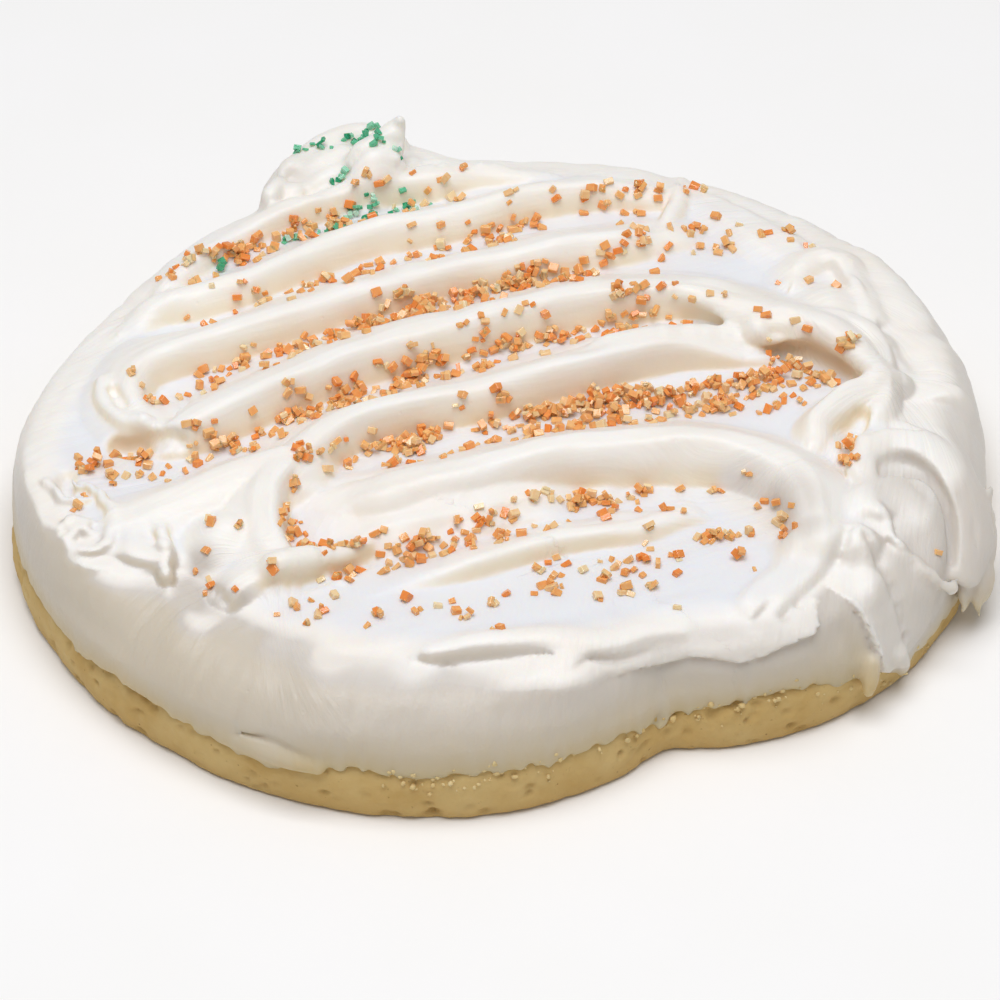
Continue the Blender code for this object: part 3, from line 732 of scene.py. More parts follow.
def furrow_marks() -> list[Smear]:
    """Torn lips and closing creases along the furrows."""
    return [
        # torn lip over the deep right end of the third furrow
        Smear(((22.4, 2.2, 16.0, 0.6), (24.6, 0.0, 15.9, 0.9), (26.8, -2.8, 15.7, 1.1),
               (28.6, -4.8, 15.5, 1.3), (30.8, -5.8, 15.5, 1.3), (33.0, -8.4, 15.4, 1.1),
               (34.4, -12.2, 15.3, 0.9), (35.2, -15.2, 15.2, 0.6)), blend=2.0),
        Smear(ragged(((24.6, -1.0, 15.7, 0.4), (26.9, -4.2, 15.4, 0.6), (27.6, -6.2, 15.0, 0.5),
                      (29.6, -7.0, 15.1, 0.45), (32.0, -7.6, 15.2, 0.4)), 61, 0.15), blend=0.5),
        Smear(((29.0, -6.6, 13.4, 1.0), (31.0, -8.8, 13.2, 1.5), (32.6, -11.8, 13.4, 1.3),
               (33.4, -14.6, 13.8, 0.7)), blend=0.8, cut=True),
        # floor ridge that runs into the deep end
        Smear(((12.0, -1.6, -0.2, 0.7), (18.0, -2.6, 0.0, 0.9), (24.0, -3.8, 0.0, 1.0),
               (27.0, -5.2, -0.2, 0.8)), blend=1.6, rides=True),
        # sugared cleft beside the right rim
        Smear(((31.4, -19.6, 0.3, 0.8), (29.0, -22.2, 0.0, 1.1), (27.0, -26.2, -0.1, 0.9),
               (26.4, -28.8, 0.2, 0.5)), blend=0.9, cut=True, rides=True),
        # blunt tongue's tip that closes the oval furrow at the left
        Smear(((-29.6, -19.6, 0.2, 1.2), (-25.6, -19.4, 0.6, 1.3), (-22.6, -19.2, 0.6, 0.9),
               (-20.2, -18.9, 0.3, 0.5)), blend=1.0, rides=True),
        Smear(((-28.4, -21.4, -0.1, 0.6), (-24.0, -21.0, -0.1, 0.7), (-20.0, -20.2, 0.1, 0.4)),
              blend=0.7, cut=True, rides=True),
        # hooked ends at the left
        Smear(((-34.8, 13.8, 0.0, 0.8), (-35.9, 10.6, 0.1, 0.8), (-35.2, 7.2, 0.1, 0.8),
               (-33.6, 5.4, 0.2, 0.8)), blend=0.7, rides=True),
        Smear(((-34.6, 11.6, 0.0, 0.5), (-34.6, 8.8, 0.0, 0.5)), blend=0.6, cut=True, rides=True),
        Smear(((-36.4, 5.0, -0.3, 1.0), (-34.2, 3.4, -0.4, 1.2), (-31.4, 1.6, -0.2, 0.8)),
              blend=0.8, cut=True, rides=True),
    ]


def right_marks() -> list[Smear]:
    """The folded pocket, the creased star, the drips and the hanging flap at the right."""
    return [
        # smooth mass inside the sunken pocket
        Smear(((29.4, -28.4, 15.8, 2.4), (31.2, -31.2, 15.0, 2.8), (30.8, -35.2, 13.6, 2.6),
               (29.4, -38.2, 12.2, 1.8)), blend=1.4, cut=True),
        Smear(((29.0, -29.4, 11.4, 2.2), (30.6, -31.8, 10.9, 2.4), (30.2, -35.0, 9.9, 2.3),
               (28.4, -38.4, 8.8, 1.8)), blend=2.4),
        # broad band over it, which runs down outside a narrow gap
        Smear(((28.2, -26.4, 13.2, 1.4), (30.6, -24.6, 13.2, 1.9), (33.8, -24.4, 12.9, 2.4),
               (36.4, -26.8, 12.0, 2.8), (37.2, -30.6, 10.6, 2.8), (36.2, -34.4, 9.0, 2.5),
               (34.0, -37.4, 7.6, 2.0)), blend=2.2, flatten=2.2, facing=(0.5, -0.45, 0.74)),
        Smear(((28.8, -28.4, 14.0, 0.45), (30.2, -27.2, 13.9, 0.85), (32.4, -27.0, 13.5, 1.0),
               (34.1, -29.2, 12.6, 0.75), (34.3, -32.6, 11.4, 0.6), (33.2, -36.0, 10.0, 0.6),
               (31.8, -38.6, 8.8, 0.55), (30.8, -40.2, 8.2, 0.5)), blend=0.5, cut=True),
        Smear(((29.6, -28.0, 13.4, 0.4), (31.2, -27.6, 12.9, 0.6), (33.2, -28.6, 12.3, 0.6),
               (33.8, -31.0, 11.4, 0.5), (33.6, -34.0, 10.2, 0.45), (32.4, -37.2, 8.8, 0.4)),
              blend=0.3, cut=True),
        # shallow pit beyond the band
        Smear(((30.4, -22.8, 0.4, 0.7), (32.8, -21.8, 0.3, 1.1), (35.4, -23.0, 0.2, 0.8)),
              blend=0.9, cut=True, rides=True),
        # blunt nose at the gap's upper end
        Smear(((29.4, -25.0, 14.2, 0.5), (28.6, -26.8, 13.9, 0.7), (28.4, -28.2, 13.5, 0.45)),
              blend=0.8),
        # torn near edge of the mass
        Smear(ragged(((25.4, -31.0, 14.2, 0.3), (26.8, -33.4, 13.6, 0.5), (26.5, -36.2, 12.7, 0.5),
                      (27.9, -38.6, 11.4, 0.55), (29.3, -40.3, 9.9, 0.5),
                      (30.4, -41.0, 8.6, 0.4)), 62, 0.15), blend=0.8),
        Smear(ragged(((29.4, -40.6, 9.6, 0.4), (30.6, -40.6, 9.0, 0.5), (31.8, -39.8, 8.8, 0.35)),
                     63, 0.15), blend=0.4),
        # hole torn in the band, and a crack beside it
        Smear(((36.4, -34.4, 10.6, 0.2), (36.0, -35.4, 10.2, 0.4), (35.5, -36.4, 9.6, 0.25)),
              blend=0.4, cut=True),
        # folds that meet where the layers cross
        Smear(((16.6, -34.6, -0.7, 1.2), (20.0, -35.4, -0.7, 1.3), (22.9, -35.9, -0.6, 1.4),
               (25.2, -34.0, -0.7, 1.2), (26.6, -31.2, -0.7, 1.0)), blend=2.0, rides=True),
        Smear(((22.9, -36.2, -0.6, 1.3), (22.4, -38.8, -0.6, 1.3), (21.4, -41.0, -0.6, 1.1)),
              blend=2.0, rides=True),
        Smear(((22.2, -35.2, 0.1, 0.35), (20.4, -37.2, 0.1, 0.5), (18.0, -39.0, 0.1, 0.55),
               (15.2, -40.6, 0.1, 0.5), (12.4, -42.0, 0.2, 0.4)), blend=0.6, cut=True, rides=True),
        Smear(((23.6, -36.6, 0.2, 0.3), (24.0, -38.8, 0.15, 0.45), (24.6, -41.0, 0.1, 0.5),
               (25.2, -42.8, 0.1, 0.35)), blend=0.9, cut=True, rides=True),
        # two drips at the arch's right foot
        Smear(((20.6, -44.6, 6.2, 0.8), (20.2, -45.2, 4.8, 0.8), (19.8, -45.6, 3.6, 0.55)),
              blend=0.9),
        Smear(((24.0, -43.4, 5.0, 0.9), (24.6, -43.4, 3.6, 0.7), (24.6, -43.2, 2.4, 0.4)),
              blend=0.8),
        # arch's hollow
        Smear(((14.0, -46.4, 9.8, 0.8), (16.8, -45.4, 10.2, 1.3), (18.4, -44.6, 10.4, 1.2),
               (19.2, -45.0, 8.2, 1.0)), blend=1.2, cut=True),
        # flap that hangs off the far right, torn at its lower edge
        Smear(ragged(((40.4, -30.4, 9.4, 1.4), (38.9, -33.2, 7.6, 1.8), (37.4, -35.6, 5.8, 1.9),
                      (36.0, -37.8, 4.2, 1.6), (34.9, -39.2, 2.6, 1.1)), 65, 0.14), blend=0.7,
              flatten=2.4, facing=(0.70, -0.70, 0.12)),
        Smear(ragged(((38.0, -32.6, 9.4, 1.2), (35.8, -35.8, 7.0, 1.6), (34.4, -37.6, 5.0, 1.4),
                      (33.4, -38.6, 3.6, 1.0)), 66, 0.14), blend=0.7,
              flatten=2.4, facing=(0.70, -0.70, 0.12)),
        Smear(((40.6, -30.8, 9.4, 0.3), (39.6, -32.6, 8.6, 0.45), (38.8, -33.8, 7.8, 0.3)),
              blend=0.35, cut=True),
        Smear(((42.4, -18.6, 13.4, 0.3), (42.8, -21.4, 12.6, 0.4), (42.6, -24.0, 11.6, 0.3)),
              blend=0.4, cut=True),
    ]


def front_marks() -> list[Smear]:
    """The rim's two hanging lips, the crack, the scraped facet and the lifted smear in front."""
    marks = [
        *hanging_lip(((-20.5, -35.8, 13.3, 0.2), (-15.7, -36.8, 13.6, 0.6), (-9.9, -38.6, 13.5, 0.8),
                      (-6.6, -40.1, 13.0, 0.8), (-4.0, -40.8, 12.6, 0.8),
                      (-0.8, -40.7, 12.4, 0.7), (2.8, -41.0, 12.2, 0.3))),
        # crack under the skin's left end
        Smear(((-29.0, -36.4, 12.2, 0.15), (-26.6, -37.6, 12.4, 0.3), (-23.4, -38.6, 12.7, 0.4),
               (-20.2, -39.6, 12.8, 0.4), (-17.0, -40.6, 12.6, 0.2)), blend=0.25, cut=True),
        # bright shoulder between the two lips
        Smear(((-14.8, -39.9, 11.8, 0.6), (-12.0, -40.7, 11.9, 1.0), (-9.0, -41.2, 12.0, 0.8)),
              blend=2.8),
        # scraped facet
        Smear(((-21.4, -43.6, 9.6, 0.5), (-18.4, -44.5, 9.9, 0.9), (-15.2, -44.9, 10.3, 0.8),
               (-14.4, -44.9, 10.4, 0.3)), blend=0.3, cut=True),
        # lifted smear at the lower left
        Smear(((-38.4, -30.4, 6.9, 0.2), (-36.0, -33.4, 7.4, 0.35), (-34.4, -35.2, 7.1, 0.35),
               (-32.8, -36.7, 6.5, 0.2)), blend=0.25, cut=True),
        Smear(((-38.6, -30.0, 5.9, 0.6), (-36.4, -32.8, 5.9, 0.8), (-34.2, -35.2, 5.6, 0.8),
               (-32.2, -36.9, 5.4, 0.6)), blend=0.9),
        # small holes along the skirt's lower edge
        Smear(((-13.9, -43.6, 5.0, 0.5), (-14.3, -44.2, 5.6, 0.35)), blend=0.2, cut=True),
        Smear(((-0.6, -42.9, 5.0, 0.55), (-0.2, -42.9, 5.8, 0.4)), blend=0.2, cut=True),
        Smear(((7.8, -44.7, 5.6, 0.6), (8.0, -44.8, 6.5, 0.4)), blend=0.2, cut=True),
        Smear(((12.6, -46.2, 7.9, 0.35), (12.8, -46.2, 8.2, 0.3)), blend=0.2, cut=True),
    ]
    return marks


def left_marks() -> list[Smear]:
    """The torn swirl, the upright strand and the hollows on the left rim."""
    strands = (
        # lower rim of the swirl
        ((-45.6, 5.3, 12.4, 0.5), (-46.2, -0.6, 12.4, 0.6), (-46.2, -4.6, 12.3, 0.7),
         (-45.8, -8.1, 12.4, 0.7), (-44.8, -10.4, 12.5, 0.7), (-43.0, -11.2, 12.9, 0.5)),
        ((-46.0, -3.3, 12.9, 0.4), (-45.8, -6.0, 12.9, 0.5), (-44.8, -8.3, 13.1, 0.5),
         (-43.2, -8.9, 13.4, 0.45), (-41.9, -7.8, 13.6, 0.35)),
        ((-42.2, 1.4, 13.5, 0.4), (-40.9, -0.9, 13.7, 0.5), (-40.3, -3.9, 13.9, 0.6),
         (-40.8, -6.3, 13.9, 0.6), (-42.2, -8.7, 13.7, 0.45)),
        ((-45.6, -4.9, 13.4, 0.35), (-44.8, -4.1, 13.6, 0.45), (-43.8, -4.2, 13.7, 0.4),
         (-42.6, -5.2, 13.7, 0.3)),
        ((-45.6, -6.2, 13.3, 0.3), (-44.0, -5.7, 13.6, 0.45), (-42.8, -6.9, 13.6, 0.3)),
        ((-44.4, 2.7, 13.2, 0.4), (-43.9, -0.6, 13.4, 0.45), (-42.0, -1.6, 13.6, 0.4)),
        ((-44.9, -11.8, 11.4, 0.25), (-43.4, -12.8, 11.6, 0.35), (-41.8, -13.6, 12.0, 0.25)),
        # upright strand with its torn tip
        ((-36.7, -7.0, 14.2, 0.5), (-37.2, -10.1, 14.2, 0.65), (-37.6, -12.5, 13.9, 0.7),
         (-38.6, -14.7, 13.0, 0.7), (-39.2, -17.2, 11.7, 0.6), (-38.9, -18.8, 10.9, 0.4)),
    )
    marks = [
        # shelf that ends above the flank, and its shaded step
        Smear(((-39.4, -8.4, 12.9, 1.3), (-40.2, -10.9, 12.6, 1.4), (-38.8, -12.6, 12.7, 1.2)),
              blend=1.2),
        # small pits between the swirl's strands
        Smear(((-44.6, -2.6, 13.8, 0.7), (-43.2, -2.8, 13.9, 0.6)), blend=0.6, cut=True),
        Smear(((-42.4, 2.8, 0.0, 0.8), (-43.4, 0.4, -0.1, 0.7)), blend=0.8, cut=True, rides=True),
    ]
    for number, points in enumerate(strands):
        marks.append(Smear(ragged(points, 70 + number, 0.14), blend=0.8))
    return marks


# ---------------------------------------------------------------- materials

def linear(colour: str) -> tuple[float, float, float, float]:
    """Turn an sRGB hex colour into linear values with full opacity."""
    values = []
    for place in (0, 2, 4):
        level = int(colour[place:place + 2], 16) / 255.0
        values.append(level / 12.92 if level <= 0.04045 else ((level + 0.055) / 1.055) ** 2.4)
    return (*values, 1.0)


def put(tree: bpy.types.NodeTree, kind: str, feeds: dict | None = None,
        **settings: object) -> bpy.types.Node:
    """Add a node, set its properties, and set or link its inputs.

    Args:
        tree: the node tree that gets the node.
        kind: the node's type name.
        feeds: input name or index, with a value or the socket that feeds it.
        settings: properties of the node.

    Returns:
        The new node.
    """
    node = tree.nodes.new(kind)
    for name, value in settings.items():
        setattr(node, name, value)
    for name, value in (feeds or {}).items():
        if isinstance(value, bpy.types.NodeSocket):
            tree.links.new(value, node.inputs[name])
        else:
            node.inputs[name].default_value = value
    return node


def ramp(tree: bpy.types.NodeTree, source: bpy.types.NodeSocket,
         stops: tuple) -> bpy.types.NodeSocket:
    """Colour that follows a value through (place, hex colour) stops."""
    node = put(tree, "ShaderNodeValToRGB", {"Fac": source})
    elements = node.color_ramp.elements
    elements[0].position, elements[0].color = stops[0][0], linear(stops[0][1])
    elements[1].position, elements[1].color = stops[-1][0], linear(stops[-1][1])
    for place, colour in stops[1:-1]:
        elements.new(place).color = linear(colour)
    return node.outputs["Color"]


def mixed(tree: bpy.types.NodeTree, share: bpy.types.NodeSocket, first: bpy.types.NodeSocket,
          second: bpy.types.NodeSocket | tuple) -> bpy.types.NodeSocket:
    """Colour that goes from the first to the second as share goes from 0 to 1."""
    return put(tree, "ShaderNodeMix", {0: share, 6: first, 7: second},
               data_type="RGBA").outputs[2]


def blank_material(name: str) -> tuple[bpy.types.Material, bpy.types.NodeTree]:
    """New material with an empty node tree."""
    material = bpy.data.materials.new(name)
    material.use_nodes = True
    material.node_tree.nodes.clear()
    return material, material.node_tree


def noise(tree: bpy.types.NodeTree, vector: bpy.types.NodeSocket, size: float,
          detail: float = 2.0) -> bpy.types.NodeSocket:
    """Noise whose swellings measure size in the vector's own unit."""
    return put(tree, "ShaderNodeTexNoise",
               {"Vector": vector, "Scale": 1.0 / size, "Detail": detail}).outputs["Fac"]


def bump(tree: bpy.types.NodeTree, height: bpy.types.NodeSocket, distance: float,
         strength: float, under: bpy.types.NodeSocket | None = None) -> bpy.types.NodeSocket:
    """Normal tilted by a height pattern, over an earlier normal."""
    feeds = {"Height": height, "Distance": distance, "Strength": strength}
    if under is not None:
        feeds["Normal"] = under
    return put(tree, "ShaderNodeBump", feeds).outputs["Normal"]


@dataclass(frozen=True)
class ButtercreamFinish:
    """Whipped butter and powdered sugar, spread with a palette knife and crusted as it dried.

    Fat lets light travel a few millimetres, which fills thin lips and warms the shaded walls.
    The crust is satin, with fine drag lines along each knife stroke and a few burst bubbles.
    """

    body: str = "F5F1E9"
    fatty: str = "F2EBE0"
    # painted shade: grey for the low, upward-facing furrow floors that the walls keep from the light
    painted_floor_shade: str = "E8E8E8"
    # painted warm shade on the deep, steep furrow walls, with the sugar's dye stain mixed in
    warm_shade_and_dye: str = "F0E0BE"
    # scraped icing with dough showing through, darkened as painted shade for the shaded walls and
    # slopes
    scraped_and_shade: tuple = ((0.3, "D0C8BD"), (0.65, "CDC0A8"), (1.0, "C6B184"))
    light_travel_mm: tuple[float, float, float] = (3.2, 2.3, 1.5)
    subsurface: float = 0.35
    index: float = 1.46
    satin: tuple[float, float] = (0.38, 0.56)

    def build(self) -> bpy.types.Material:
        """Make the material."""
        material, tree = blank_material("buttercream")
        place = put(tree, "ShaderNodeTexCoord").outputs["Object"]
        cloudy = noise(tree, place, 9.0 * MM, 3.0)
        colour = ramp(tree, cloudy, ((0.35, self.body), (0.72, self.fatty)))
        tone = put(tree, "ShaderNodeSeparateXYZ", {
            "Vector": put(tree, "ShaderNodeAttribute", attribute_name="tone").outputs["Vector"],
        }).outputs
        # Painted shade follows: tone Y greys the furrow floors, tone X warms the deep steep walls,
        # tone Z darkens the scraped wall and shaded slopes.
        colour = mixed(tree, tone["Y"], colour, linear(self.painted_floor_shade))
        colour = mixed(tree, tone["X"], colour, linear(self.warm_shade_and_dye))
        # Painted shade: the scraped ramp darkens shaded walls and slopes, not only thin icing.
        thin = put(tree, "ShaderNodeMapRange", {"Value": tone["Z"], "From Max": 0.3})
        colour = mixed(tree, thin.outputs["Result"], colour, ramp(tree, tone["Z"], self.scraped_and_shade))
        stroke = put(tree, "ShaderNodeAttribute", attribute_name="stroke").outputs["Vector"]
        drag = put(tree, "ShaderNodeMapping", {"Vector": stroke, "Scale": (0.07, 1.0, 0.35)},
                   vector_type="POINT").outputs["Vector"]
        lines = noise(tree, drag, 0.55, 3.0)
        broad = noise(tree, drag, 1.5, 2.0)
        grain = noise(tree, place, 0.35 * MM, 3.0)
        bubble = put(tree, "ShaderNodeTexVoronoi",
                     {"Vector": place, "Scale": 1.0 / (2.4 * MM), "Randomness": 1.0})
        pits = put(tree, "ShaderNodeMapRange",
                   {"Value": bubble.outputs["Distance"], "From Min": 0.03, "From Max": 0.09})
        normal = bump(tree, broad, 0.22 * MM, 0.7)
        normal = bump(tree, lines, 0.13 * MM, 0.7, normal)
        normal = bump(tree, grain, 0.02 * MM, 0.5, normal)
        normal = bump(tree, pits.outputs["Result"], 0.05 * MM, 0.4, normal)
        sheen = put(tree, "ShaderNodeMapRange",
                    {"Value": grain, "From Min": 0.3, "From Max": 0.7,
                     "To Min": self.satin[0], "To Max": self.satin[1]}).outputs["Result"]
        shader = put(tree, "ShaderNodeBsdfPrincipled", {
            "Base Color": colour, "Roughness": sheen, "Normal": normal, "IOR": self.index,
            "Subsurface Weight": self.subsurface, "Subsurface Scale": MM,
            "Subsurface Radius": self.light_travel_mm,
        })
        put(tree, "ShaderNodeOutputMaterial", {"Surface": shader.outputs["BSDF"]})
        return material


@dataclass(frozen=True)
class DoughFinish:
    """Sugar-cookie dough of butter, flour and sugar, rolled, cut and baked pale.

    The cut side stays blond and floury with a fine crumb. The lower edge and the underside took
    the tray's heat, so they are browner, and dry, so they show hardly any highlight.
    """

    blond: str = "D3B77D"
    golden: str = "C6A465"
    toasted: str = "AD8748"
    speck: str = "7A5527"
    roughness: tuple[float, float] = (0.72, 0.92)
    subsurface: float = 0.12
    light_travel_mm: tuple[float, float, float] = (1.4, 0.8, 0.4)

    def build(self) -> bpy.types.Material:
        """Make the material."""
        material, tree = blank_material("baked_dough")
        place = put(tree, "ShaderNodeTexCoord").outputs["Object"]
        height = put(tree, "ShaderNodeSeparateXYZ", {"Vector": place}).outputs["Z"]
        patchy = noise(tree, place, 5.0 * MM, 4.0)
        fine = noise(tree, place, 0.7 * MM, 4.0)
        base = ramp(tree, patchy, ((0.32, self.golden), (0.66, self.blond)))
        low = put(tree, "ShaderNodeMapRange",
                  {"Value": height, "From Min": 2.6 * MM, "From Max": 0.1 * MM,
                   "To Min": 0.0, "To Max": 0.75}).outputs["Result"]
        uneven = put(tree, "ShaderNodeMath", {0: low, 1: patchy}, operation="MULTIPLY")
        toasted = put(tree, "ShaderNodeMix",
                      {"Factor": uneven.outputs["Value"], "A": base, "B": linear(self.toasted)},
                      data_type="RGBA")
        dark = put(tree, "ShaderNodeMapRange",
                   {"Value": noise(tree, place, 0.55 * MM, 2.0), "From Min": 0.70,
                    "From Max": 0.80, "To Max": 0.65}).outputs["Result"]
        specked = put(tree, "ShaderNodeMix",
                      {"Factor": dark, "A": toasted.outputs["Result"],
                       "B": linear(self.speck)}, data_type="RGBA")
        crumb = put(tree, "ShaderNodeTexVoronoi",
                    {"Vector": place, "Scale": 1.0 / (0.8 * MM), "Randomness": 1.0})
        normal = bump(tree, crumb.outputs["Distance"], 0.12 * MM, 0.5)
        normal = bump(tree, fine, 0.16 * MM, 0.7, normal)
        dull = put(tree, "ShaderNodeMapRange",
                   {"Value": fine, "From Min": 0.3, "From Max": 0.7,
                    "To Min": self.roughness[0], "To Max": self.roughness[1]})
        shader = put(tree, "ShaderNodeBsdfPrincipled", {
            "Base Color": specked.outputs["Result"], "Roughness": dull.outputs["Result"],
            "Normal": normal, "IOR": 1.45, "Specular IOR Level": 0.3,
            "Subsurface Weight": self.subsurface, "Subsurface Scale": MM,
            "Subsurface Radius": self.light_travel_mm,
        })
        put(tree, "ShaderNodeOutputMaterial", {"Surface": shader.outputs["BSDF"]})
        return material


@dataclass(frozen=True)
class SugarFinish:
    """Sanding sugar: coarse sucrose crystals, dyed on the outside and glossed by tumbling.

    A crystal is clear inside, so its edges go dark or bright as it bends the white beneath it,
    and the dye is deeper where more of it gathered.
    """

    name: str
    pale: str
    middle: str
    deep: str
    clearness: float = 0.1
    subsurface: float = 0.75
    roughness: float = 0.08
    index: float = 1.54

    def build(self) -> bpy.types.Material:
        """Make the material."""
        material, tree = blank_material(self.name)
        place = put(tree, "ShaderNodeTexCoord").outputs["Object"]
        tint = put(tree, "ShaderNodeAttribute", attribute_name="tint").outputs["Fac"]
        cloudy = noise(tree, place, 0.5 * MM, 2.0)
        dye = put(tree, "ShaderNodeMath", {0: cloudy, 1: 0.35, 2: tint}, operation="MULTIPLY_ADD")
        colour = ramp(tree, dye.outputs["Value"],
                      ((0.18, self.pale), (0.62, self.middle), (1.12, self.deep)))
        normal = bump(tree, noise(tree, place, 0.16 * MM, 2.0), 0.02 * MM, 0.6)
        worn = put(tree, "ShaderNodeMapRange",
                   {"Value": cloudy, "From Min": 0.3, "From Max": 0.7,
                    "To Min": self.roughness * 0.6, "To Max": self.roughness * 1.7})
        shader = put(tree, "ShaderNodeBsdfPrincipled", {
            "Base Color": colour, "Roughness": worn.outputs["Result"], "Normal": normal,
            "IOR": self.index, "Transmission Weight": self.clearness,
            "Subsurface Weight": self.subsurface, "Subsurface Scale": MM,
            "Subsurface Radius": (0.22, 0.2, 0.18),
        })
        put(tree, "ShaderNodeOutputMaterial", {"Surface": shader.outputs["BSDF"]})
        return material


@dataclass(frozen=True)
class FloorFinish:
    """Matt white sweep under the cookie."""

    white: str = "F8F6F2"

    def build(self) -> bpy.types.Material:
        """Make the material."""
        material, tree = blank_material("sweep")
        place = put(tree, "ShaderNodeTexCoord").outputs["Object"]
        grain = noise(tree, place, 0.02, 2.0)
        colour = ramp(tree, grain, ((0.3, self.white), (0.7, "F7F5F0")))
        shader = put(tree, "ShaderNodeBsdfPrincipled",
                     {"Base Color": colour, "Roughness": 0.9, "Specular IOR Level": 0.1})
        put(tree, "ShaderNodeOutputMaterial", {"Surface": shader.outputs["BSDF"]})
        return material


# ---------------------------------------------------------------- pieces

def new_piece(name: str, places_mm: np.ndarray, faces: list, material: bpy.types.Material,
              smooth: bool = True) -> bpy.types.Object:
    """Make a mesh piece from places in millimetres and faces, dressed in one material."""
    mesh = bpy.data.meshes.new(name)
    mesh.from_pydata(places_mm * MM, [], faces)
    mesh.polygons.foreach_set("use_smooth", [smooth] * len(mesh.polygons))
    mesh.materials.append(material)
    mesh.update()
    piece = bpy.data.objects.new(name, mesh)
    bpy.context.scene.collection.objects.link(piece)
    return piece


def report(piece: bpy.types.Object) -> None:
    """Log a piece's name, size and number of triangles."""
    triangles = sum(len(face.vertices) - 2 for face in piece.data.polygons)
    size = [round(value / MM, 1) for value in piece.dimensions]
    LOG.info("%s: %s mm, %d triangles", piece.name, size, triangles)


